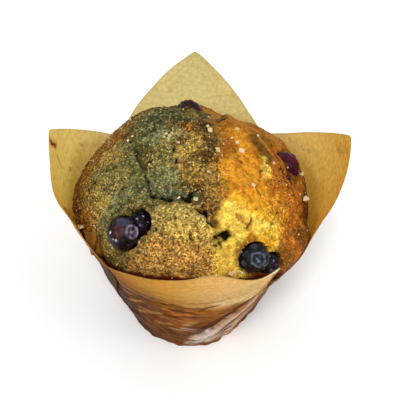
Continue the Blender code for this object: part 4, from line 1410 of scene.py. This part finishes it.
# %% [markdown]
# ## The tuck at the front left
# Where the left panel meets the front one, a corner of the sheet is folded over and
# lies on the crust. It is a small piece of its own, since the sheet's grid has one
# height per direction: a leaf between four corners, bent along its diagonal.

# %% Shape of the folded corner
LEAF = np.array([[-35.0, -19.4, 57.2], [-28.7, -25.1, 62.8], [-32.4, -23.8, 51.6], [-28.6, -28.0, 54.6]])
LEAF_ROWS = 30
LEAF_COLUMNS = 26
leaf_u, leaf_v = np.meshgrid(np.linspace(0.0, 1.0, LEAF_COLUMNS), np.linspace(0.0, 1.0, LEAF_ROWS))
# flat leaf: each corner weighs as much as the point is near to it in both directions
corner_shares = ((1.0 - leaf_u) * (1.0 - leaf_v), leaf_u * (1.0 - leaf_v),
                 (1.0 - leaf_u) * leaf_v, leaf_u * leaf_v)
leaf = sum(share[..., None] * place for share, place in zip(corner_shares, LEAF))
leaf_out = leaf * np.array([1.0, 1.0, 0.0]) / np.hypot(leaf[..., 0], leaf[..., 1])[..., None]
fold_off = leaf_u + 0.75 * leaf_v - 0.95
leaf_bump = 0.5 * bell(fold_off, 0.22) - 0.35 * soft_step(0.1, 0.5, fold_off)
leaf_bump = leaf_bump + 0.25 * drift(leaf[..., 0], leaf[..., 1], leaf[..., 2], 2.6, 88)
leaf = leaf + leaf_out * leaf_bump[..., None]
print("the folded corner is bent by", round(float(np.ptp(leaf_bump)), 2), "mm")

# %% Colour and marks of the folded corner
LEAF_BROWN = "#a9712c"
LEAF_SHADE = "#4a1e08"
leaf_rim = np.minimum(np.minimum(leaf_u, 1.0 - leaf_u), np.minimum(leaf_v, 1.0 - leaf_v))
# painted shade along the fold and at the two edges that are tucked in
leaf_shade_share = bell(fold_off - 0.12, 0.09) + soft_step(0.78, 0.95, leaf_u) + soft_step(0.8, 1.0, leaf_v)
leaf_shade_share = 0.85 * np.clip(leaf_shade_share, 0.0, 1.0)[..., None]
leaf_mottle = 2.0 ** (0.55 * drift(leaf[..., 0], leaf[..., 1], leaf[..., 2], 1.4, 89))[..., None]
leaf_colour = leaf_mottle * tone(LEAF_BROWN) * (1.0 - leaf_shade_share)
leaf_colour = np.clip(leaf_colour + leaf_shade_share * tone(LEAF_SHADE), 0.0, 1.0)
# the leaf is about 8 by 10 mm, so its directions end at these shares of MARK_SIZE
leaf_marks = {"sheet_colour": leaf_colour.reshape(-1, 3), "grease": 0.25 + 0.0 * leaf_u.ravel(),
              "edge": soft_step(0.07, 0.0, leaf_rim).ravel(), "around": leaf_u.ravel() * 0.08,
              "hang": leaf_v.ravel() * 0.1}
leaf_faces = grid_faces(LEAF_ROWS, LEAF_COLUMNS, closed=False)[:, ::-1]
folded_corner = make_piece("folded_corner", leaf.reshape(-1, 3), [leaf_faces], leaf_marks, greaseproof)
thicken(folded_corner)
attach(folded_corner, "root")

# %% [markdown]
# ## Berries
# A blueberry is a ball with a crown, the ring left by its flower, and a grey bloom
# of wax. Baked, it wrinkles, sinks and may burst, which shows its wet dark inside.
# A sculpted ball would do, but as a radius that depends on direction the ring, the
# cup and the wrinkles are one short formula, which serves all four berries.


# %% Colours of a berry
def berry_colours(way, place, bloom, look, seed):
    """Linear colours: dark skin, clouds of wax where the drift field is high and on
    the crown's ring, then round spots by the angle off their direction."""
    cloud = drift(*place, 1.7, seed) + 0.6 * drift(*place, 0.7, seed + 1)
    share = np.clip(look["cover"] * soft_step(-0.1, 0.9, cloud), 0.0, 1.0)[..., None]
    colour = tone(look["dark"]) * (1.0 - share) + tone(look["wax"]) * share
    colour = colour + bloom[..., None] * (tone(look["ring"]) - colour)
    for direction, half, code, full in look["spots"]:
        aim = np.array(direction) / np.linalg.norm(direction)
        off = np.degrees(np.arccos(np.clip((way * aim[:, None, None]).sum(0), -1.0, 1.0)))
        off = off + 0.4 * half * drift(*place, 1.2, seed + 2)
        share = (full * soft_step(1.35 * half, 0.6 * half, off))[..., None]
        colour = colour + share * (tone(code) - colour)
    return colour


print("wax lies in clouds of 1.7 and 0.7 mm")


# %% Directions on a ball
def ball_grid(crown, rows, columns):
    """Angle off the crown's axis in degrees, angle round it, and the direction of
    every point: axis times cosine plus two cross directions times sine."""
    axis = np.array(crown, float) / np.linalg.norm(crown)
    side = np.cross(axis, (0.3, 0.9, 0.2))
    side = side / np.linalg.norm(side)
    across = np.cross(axis, side)
    theta = np.linspace(0.5, 179.5, rows)[:, None]
    phi = np.linspace(0.0, 2.0 * math.pi, columns, endpoint=False)[None, :]
    t = np.radians(theta)
    way = (axis[:, None, None] * np.cos(t) + side[:, None, None] * np.sin(t) * np.cos(phi)
           + across[:, None, None] * np.sin(t) * np.sin(phi))
    return theta, phi, way


print("a berry's grid:", ball_grid((0.0, 0.0, 1.0), 72, 112)[2].shape)

# %% Shape of a berry
RING_WIDTH = 4.5         # half width in degrees of the crown's ring


def berry_shape(middle, radius, crown, ring_angle, look, seed, burst=False, rows=72, columns=112):
    """Closed grid about a centre. Radius is the ball's, plus a ring at a set angle
    off the crown's axis, less a cup inside the ring, less creases. A burst lobe
    has no ring but grains of 1.5 and 0.75 mm, like wet crumbs."""
    theta, phi, way = ball_grid(crown, rows, columns)
    place = way * radius
    crease = np.abs(drift(*place, 2.4, seed)) * 2.0
    size = radius * (1.0 + 0.04 * drift(*place, 3.0, seed + 3))
    wavy = theta + 1.5 * np.sin(5.0 * phi) + 5.0 * drift(*place, 1.6, seed + 4)
    ring = bell(wavy - ring_angle, RING_WIDTH)
    ring = ring * (0.35 + 0.75 * soft_step(-0.3, 0.35, drift(*place, 1.1, seed + 9)))
    cup = soft_step(ring_angle, ring_angle * 0.4, wavy)
    if burst:
        ring, cup = 0.0 * ring, 0.0 * cup
        size = size * (1.0 + 0.12 * drift(*place, 2.2, seed + 10))
        size = size + 1.1 * (0.5 - grains(*place, 1.5, seed + 5))
        size = size + 0.4 * (0.5 - grains(*place, 0.75, seed + 6))
    else:
        size = size + 0.08 * radius * ring - 0.13 * radius * cup - 0.25 * bell(crease, 0.22)
        size = size + 0.1 * drift(*place, 1.1, seed + 1)
    bloom = np.clip(0.9 * ring + 0.3 * cup * soft_step(0.0, 0.5, drift(*place, 0.9, seed + 7)), 0.0, 1.0)
    colour = berry_colours(way, place, bloom, look, seed + 8)
    points = np.array(middle)[:, None, None] + way * size
    flat_points = np.concatenate([points.reshape(3, -1).T, [points[:, 0].mean(1), points[:, -1].mean(1)]])
    colour = np.concatenate([colour.reshape(-1, 3), colour[[0, -1], 0]])
    return flat_points, [grid_faces(rows, columns), pole_caps(rows, columns)], {"skin_colour": colour}


print("the crown's ring is", 2.0 * RING_WIDTH, "degrees wide")

# %% [markdown]
# ## Berry skin
# The skin of a baked blueberry is a thin, tight film. Juice makes it glossy, so the
# lamp leaves small bright spots on its wrinkles, and the wax that is left makes it
# matt in clouds. The IOR is that of a sugary film, and the roughness varies. A
# second coat of varnish would shine too, but one uneven layer is all a skin has.

# %% Baked berry skin
berry_skin, tree, shader = new_finish("baked_berry_skin")
coords = add_node(tree, "TexCoord", {}, {}, "Object")
fine = noise(tree, coords, PER_MM / 0.6, 3.0)
skin = read_mark(tree, "skin_colour", "Color")
dim = remap(tree, fine, 0.35, 0.65, 0.55, 1.35)
colour = blend_colours(tree, 1.0, skin, dim, "MULTIPLY")
tree.links.new(colour, shader.inputs["Base Color"])
rough = remap(tree, fine, 0.35, 0.65, 0.42, 0.2)
tree.links.new(rough, shader.inputs["Roughness"])
bump = add_node(tree, "Bump", {}, {"Height": fine, "Distance": 0.2 * MM, "Strength": 0.7})
tree.links.new(bump, shader.inputs["Normal"])
shader.inputs["IOR"].default_value = 1.4
shader.inputs["Specular IOR Level"].default_value = 0.22
print("berry skin nodes:", len(tree.nodes))

# %% [markdown]
# ## One look for each berry
# The two front berries lie open and carry wax, a torn crown and spots; a spot is a
# direction, a half width in degrees, a colour and a strength, and some spots are
# painted sheen and painted glints. The other two look out of the crust with red skin.
# The burst lobes show the wet flesh with painted glints. Each berry could have a
# material of its own, but as numbers on the points the looks of all four fit one
# material.

# %% Looks of the berries
# its spots are painted glints, pale near the top and dimmer purple on the sides
WET_FLESH_AND_GLINTS = dict(dark="#09050c", wax="#1c0e20", ring="#000000", cover=0.8, spots=(
    ((-0.35, -0.3, 0.9), 4.5, "#8c8298", 0.9), ((0.15, -0.2, 0.97), 3.5, "#a8a0b4", 0.9),
    ((-0.1, -0.75, 0.65), 5.0, "#6e5c80", 0.9), ((0.5, -0.5, 0.7), 4.5, "#9a90a8", 0.8),
    ((-0.5, -0.75, 0.42), 5.0, "#5c3f6c", 0.8), ((0.7, -0.6, 0.3), 5.0, "#4a2456", 0.8)))
# front left berry: the first spot is painted sheen on the top, and the last three small pale spots are
# painted glints
BERRY_LOOKS = {
    "berry_front_left": dict(dark="#130b12", wax="#4e3f4c", ring="#95849a", cover=0.45, spots=(
        ((0.04, 0.13, 0.99), 22.0, "#4e5060", 0.55), ((-0.21, -0.60, 0.77), 21.0, "#46231f", 0.9),
        ((0.30, -0.72, 0.62), 9.0, "#241420", 0.8), ((0.60, -0.47, 0.64), 6.0, "#a493a4", 0.7),
        ((-0.70, -0.44, 0.57), 4.0, "#d6ccd8", 0.9), ((-0.51, -0.77, 0.37), 3.5, "#b8aebc", 0.9),
        ((-0.36, -0.86, 0.36), 3.5, "#c8bfca", 0.9))),
    "berry_front_right": dict(dark="#0f1116", wax="#3c444f", ring="#5c6878", cover=0.5, spots=(
        ((-0.71, -0.69, 0.13), 13.0, "#4c5664", 0.7), ((0.0, 0.1, 0.99), 14.0, "#3c4450", 0.6),
        ((0.30, -0.80, 0.52), 7.0, "#7c8a9c", 0.7), ((0.14, -0.72, 0.68), 5.0, "#8c98a8", 0.7))),
    "berry_back": dict(dark="#1c0409", wax="#3a0c14", ring="#3a0c14", cover=0.6, spots=()),
    "berry_right": dict(dark="#350518", wax="#600c34", ring="#600c34", cover=0.7, spots=()),
}
CROWNS = {
    "berry_front_left": ((0.60, -0.47, 0.64), 20.0),
    "berry_front_right": ((0.24, -0.76, 0.605), 26.0),
    "berry_back": ((-0.2, 0.5, 0.8), 20.0),
    "berry_right": ((0.8, 0.3, 0.5), 20.0),
}
LOBE_CROWN = (0.3, 0.8, 0.5)
LOBE_RING = 12.0
print("spots of each berry:", {name: len(look["spots"]) for name, look in BERRY_LOOKS.items()})

# %% The four berries and their burst lobes
for number, (name, berry) in enumerate(BERRIES.items()):
    crown, ring_angle = CROWNS[name]
    points, faces, marks = berry_shape(berry["centre"], berry["radius"], crown, ring_angle,
                                       BERRY_LOOKS[name], 90 + 10 * number)
    if "burst" in berry:
        more, more_faces, more_marks = berry_shape(berry["burst"], berry["burst_radius"], LOBE_CROWN,
                                                   LOBE_RING, WET_FLESH_AND_GLINTS, 140 + 10 * number,
                                                   burst=True, rows=64, columns=100)
        faces = faces + [f + len(points) for f in more_faces]
        points = np.concatenate([points, more])
        marks = {"skin_colour": np.concatenate([marks["skin_colour"], more_marks["skin_colour"]])}
    piece = make_piece(name + "_fruit", points, faces, marks, berry_skin)
    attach(piece, "root")
    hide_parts(name)

# %% [markdown]
# ## Sugar and crumbs
# Coarse sugar was strewn on the batter and stays as clear, chipped crystals of one
# to two millimetres, with chips of a quarter to half a millimetre. Loose crumbs lie
# between them. A particle system could scatter both, but the big crystals have
# places of their own. A crystal is a box with uneven corners, a crumb has eight
# sides, and each kind is one joined piece that rests on the crust.

# %% Seats on the dome
dome_rows = np.arange(len(side_z), rows)
dome_points = crust[:, dome_rows].reshape(3, -1).T
dome_facing = (crust_facing[:, dome_rows] + 0.0 * crust[:, dome_rows]).reshape(3, -1).T
dome_grain = crust_marks["grain"][dome_rows].ravel()
dome_pocket = pocket_shade[dome_rows].ravel()


def seat(places):
    """Numbers of the dome's points nearest in plan to the given places."""
    away = [np.hypot(dome_points[:, 0] - px, dome_points[:, 1] - py) for px, py in places]
    return [int(np.argmin(distance)) for distance in away]


def random_turns(count, rng):
    """Random rotations: each is the orthogonal part of a random matrix."""
    turned, _ = np.linalg.qr(rng.normal(size=(count, 3, 3)))
    return turned


# small pieces lie where the crust is rough, more often low on the dome, and not in
# the pockets or under the paper
weights = (0.1 + dome_grain ** 1.5) * (dome_pocket < 0.05) * (dome_points[:, 2] > 56.0)
weights = weights * (np.hypot(dome_points[:, 0], dome_points[:, 1]) + 0.5)
weights = weights / weights.sum()
print("points of the dome that can hold a crumb:", int((weights > 0.0).sum()))

# %% Crystals of coarse sugar
# big crystals: place in plan and size, in mm
BIG_SUGAR = (
    (1.7, -23.9, 1.45), (-3.6, -23.0, 1.0), (-7.9, -0.2, 1.1), (-6.9, -1.2, 1.0), (-8.6, -1.6, 0.8),
    (-6.2, 0.4, 0.8), (-4.0, -4.2, 0.9), (-7.2, -3.2, 0.7), (6.0, 3.1, 1.4), (5.4, 5.0, 0.8),
    (8.4, -6.5, 1.4), (14.6, -1.6, 1.2), (15.8, -5.5, 1.7), (15.0, 7.5, 1.3), (13.0, 0.5, 0.8),
    (19.2, -16.5, 1.4), (36.6, 1.3, 1.3), (37.7, -7.3, 1.8), (36.9, -8.6, 1.2), (12.2, -37.3, 1.5),
    (13.6, -36.9, 1.2), (15.7, -36.4, 0.9), (11.4, -38.1, 0.9), (-34.6, -17.5, 1.3), (-19.0, 2.5, 0.9),
    (-13.0, -11.0, 0.7), (-20.3, 1.6, 0.7), (26.8, -3.6, 0.9), (10.6, -1.2, 0.7), (22.0, 7.0, 0.8),
)
ON_PAPER = BIG_SUGAR.index((-34.6, -17.5, 1.3))       # lies on the folded corner of paper
PAPER_SEAT = (-35.5, -18.4, 58.6)
SMALL_COUNT = 95
rng = np.random.default_rng(7)
corner = np.array([(i, j, k) for k in (-0.5, 0.5) for j in (-0.5, 0.5) for i in (-0.5, 0.5)])
box_faces = np.array([(0, 2, 3, 1), (4, 5, 7, 6), (0, 1, 5, 4), (2, 6, 7, 3), (0, 4, 6, 2), (1, 3, 7, 5)])
small_seats = rng.choice(len(dome_points), SMALL_COUNT, replace=False, p=weights)
seats = np.concatenate([seat([s[:2] for s in BIG_SUGAR]), small_seats]).astype(int)
sizes = np.concatenate([[s[2] for s in BIG_SUGAR], rng.uniform(0.25, 0.52, SMALL_COUNT)])
stretch = rng.uniform(0.6, 1.15, (len(seats), 1, 3)) * sizes[:, None, None]
boxes = (corner[None] * (1.0 + rng.uniform(-0.28, 0.12, (len(seats), 8, 3)))) * stretch
boxes = np.einsum("nij,nkj->nki", random_turns(len(seats), rng), boxes)
seat_points = dome_points[seats].copy()
seat_points[ON_PAPER] = PAPER_SEAT
boxes = boxes + seat_points[:, None] + dome_facing[seats][:, None] * (sizes * 0.18)[:, None, None]
sugar_faces = (box_faces[None] + 8 * np.arange(len(seats))[:, None, None]).reshape(-1, 4)
print("crystals:", len(seats))

# %% Sugar
# grown crystals of cane sugar: pale gold, cloudy inside, with glassy faces that
# flash; a quarter of the light goes through, and the IOR is near that of sugar
SUGAR_PALE = "#fff0c8"
SUGAR_GOLD = "#e2c078"
sugar_glass, tree, shader = new_finish("sugar_crystal")
coords = add_node(tree, "TexCoord", {}, {}, "Object")
frost = noise(tree, coords, PER_MM / 0.6, 2.0)
colour = blend_colours(tree, frost, paint(SUGAR_PALE), paint(SUGAR_GOLD))
tree.links.new(colour, shader.inputs["Base Color"])
shader.inputs["Roughness"].default_value = 0.18
shader.inputs["IOR"].default_value = 1.54
shader.inputs["Transmission Weight"].default_value = 0.25
sugar = make_piece("sugar_crystals", boxes.reshape(-1, 3), [sugar_faces], {}, sugar_glass, smooth=False)
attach(sugar, "root")

# %% Loose crumbs
CRUMB_COUNT = 320
CRUMB_COLOURS = ("#d8bd78", "#b98b40", "#8a5d26", "#5c3c18")
rng = np.random.default_rng(11)
crumb_seats = rng.choice(len(dome_points), CRUMB_COUNT, replace=False, p=weights)
crumb_sizes = rng.uniform(0.2, 0.48, CRUMB_COUNT)
tips = np.array([(1, 0, 0), (0, 1, 0), (0, 0, 1), (-1, 0, 0), (0, -1, 0), (0, 0, -1)], float)
tip_faces = np.array([(0, 1, 2), (1, 3, 2), (3, 4, 2), (4, 0, 2),
                      (1, 0, 5), (3, 1, 5), (4, 3, 5), (0, 4, 5)])
lumps_of_crumb = tips[None] * rng.uniform(0.6, 1.2, (CRUMB_COUNT, 6, 1)) * crumb_sizes[:, None, None]
lumps_of_crumb = np.einsum("nij,nkj->nki", random_turns(CRUMB_COUNT, rng), lumps_of_crumb)
crumb_places = dome_points[crumb_seats] + dome_facing[crumb_seats] * 0.1
lumps_of_crumb = lumps_of_crumb + crumb_places[:, None]
crumb_faces = (tip_faces[None] + 6 * np.arange(CRUMB_COUNT)[:, None, None]).reshape(-1, 3)
crumb_tones = np.array([tone(code) for code in CRUMB_COLOURS])
crumb_tint = np.repeat(crumb_tones[rng.integers(0, len(CRUMB_COLOURS), CRUMB_COUNT)], len(tips), 0)
print("crumbs:", CRUMB_COUNT)

# %% Toasted crumb
# dry wheat crumb: quite matt, and each crumb has the brown that the oven gave it
toasted_crumb, tree, shader = new_finish("toasted_crumb")
tint = read_mark(tree, "crumb_tint", "Color")
tree.links.new(tint, shader.inputs["Base Color"])
shader.inputs["Roughness"].default_value = 0.8
shader.inputs["Specular IOR Level"].default_value = 0.05
loose_crumbs = make_piece("loose_crumbs", lumps_of_crumb.reshape(-1, 3), [crumb_faces],
                          {"crumb_tint": crumb_tint}, toasted_crumb)
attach(loose_crumbs, "root")

# %% [markdown]
# ## Floor and light
# A plain pale table and soft, even light show colour best. A large lamp above and
# in front gives the relief its shadows, and a weak one at the right and the pale
# sky fill them. Daylight from a window would do too, but it comes from one side.

# %% Floor
# a matt, almost white table, so that it takes a soft shadow and no reflection
TABLE_HALF = 3         # metres
floor_mesh = bpy.data.meshes.new("floor")
floor_corners = [(x * TABLE_HALF, y * TABLE_HALF, 0) for x, y in ((-1, -1), (1, -1), (1, 1), (-1, 1))]
floor_mesh.from_pydata(floor_corners, [], [(0, 1, 2, 3)])
floor_white, tree, shader = new_finish("pale_table")
shader.inputs["Base Color"].default_value = paint("#fbfbfa")
shader.inputs["Roughness"].default_value = 0.9
floor_mesh.materials.append(floor_white)
floor = bpy.data.objects.new("floor", floor_mesh)
bpy.context.collection.objects.link(floor)
print("the table is", 2 * TABLE_HALF, "m wide")

# %% Lamps
# each lamp has a name, a place and a disk's diameter in metres, and a power in watts
AIM = (0.0, 0.0, 0.05)
LAMPS = (
    ("key", (-0.12, -0.98, 1.72), 0.50, 19.0),
    ("fill", (1.20, -0.60, 1.10), 0.90, 4.5),
)
for name, place, size, power in LAMPS:
    lamp_data = bpy.data.lights.new(name, "AREA")
    lamp_data.shape = "DISK"
    lamp_data.size = size
    lamp_data.energy = power
    lamp = bpy.data.objects.new(name, lamp_data)
    lamp.location = place
    aim = np.array(AIM) - np.array(place)
    lamp.rotation_euler = (math.atan2(math.hypot(aim[0], aim[1]), -aim[2]), 0.0,
                           math.atan2(aim[1], aim[0]) - math.pi / 2)
    bpy.context.collection.objects.link(lamp)
print("lamps:", [name for name, *_ in LAMPS])

# %% Sky
sky = bpy.data.worlds.new("soft_sky")
sky.use_nodes = True
sky.node_tree.nodes["Background"].inputs["Color"].default_value = paint("#fdfcfa")
sky.node_tree.nodes["Background"].inputs["Strength"].default_value = 0.72
bpy.context.scene.world = sky
bpy.context.scene.view_settings.view_transform = "Standard"
print("sky strength:", round(sky.node_tree.nodes["Background"].inputs["Strength"].default_value, 2))
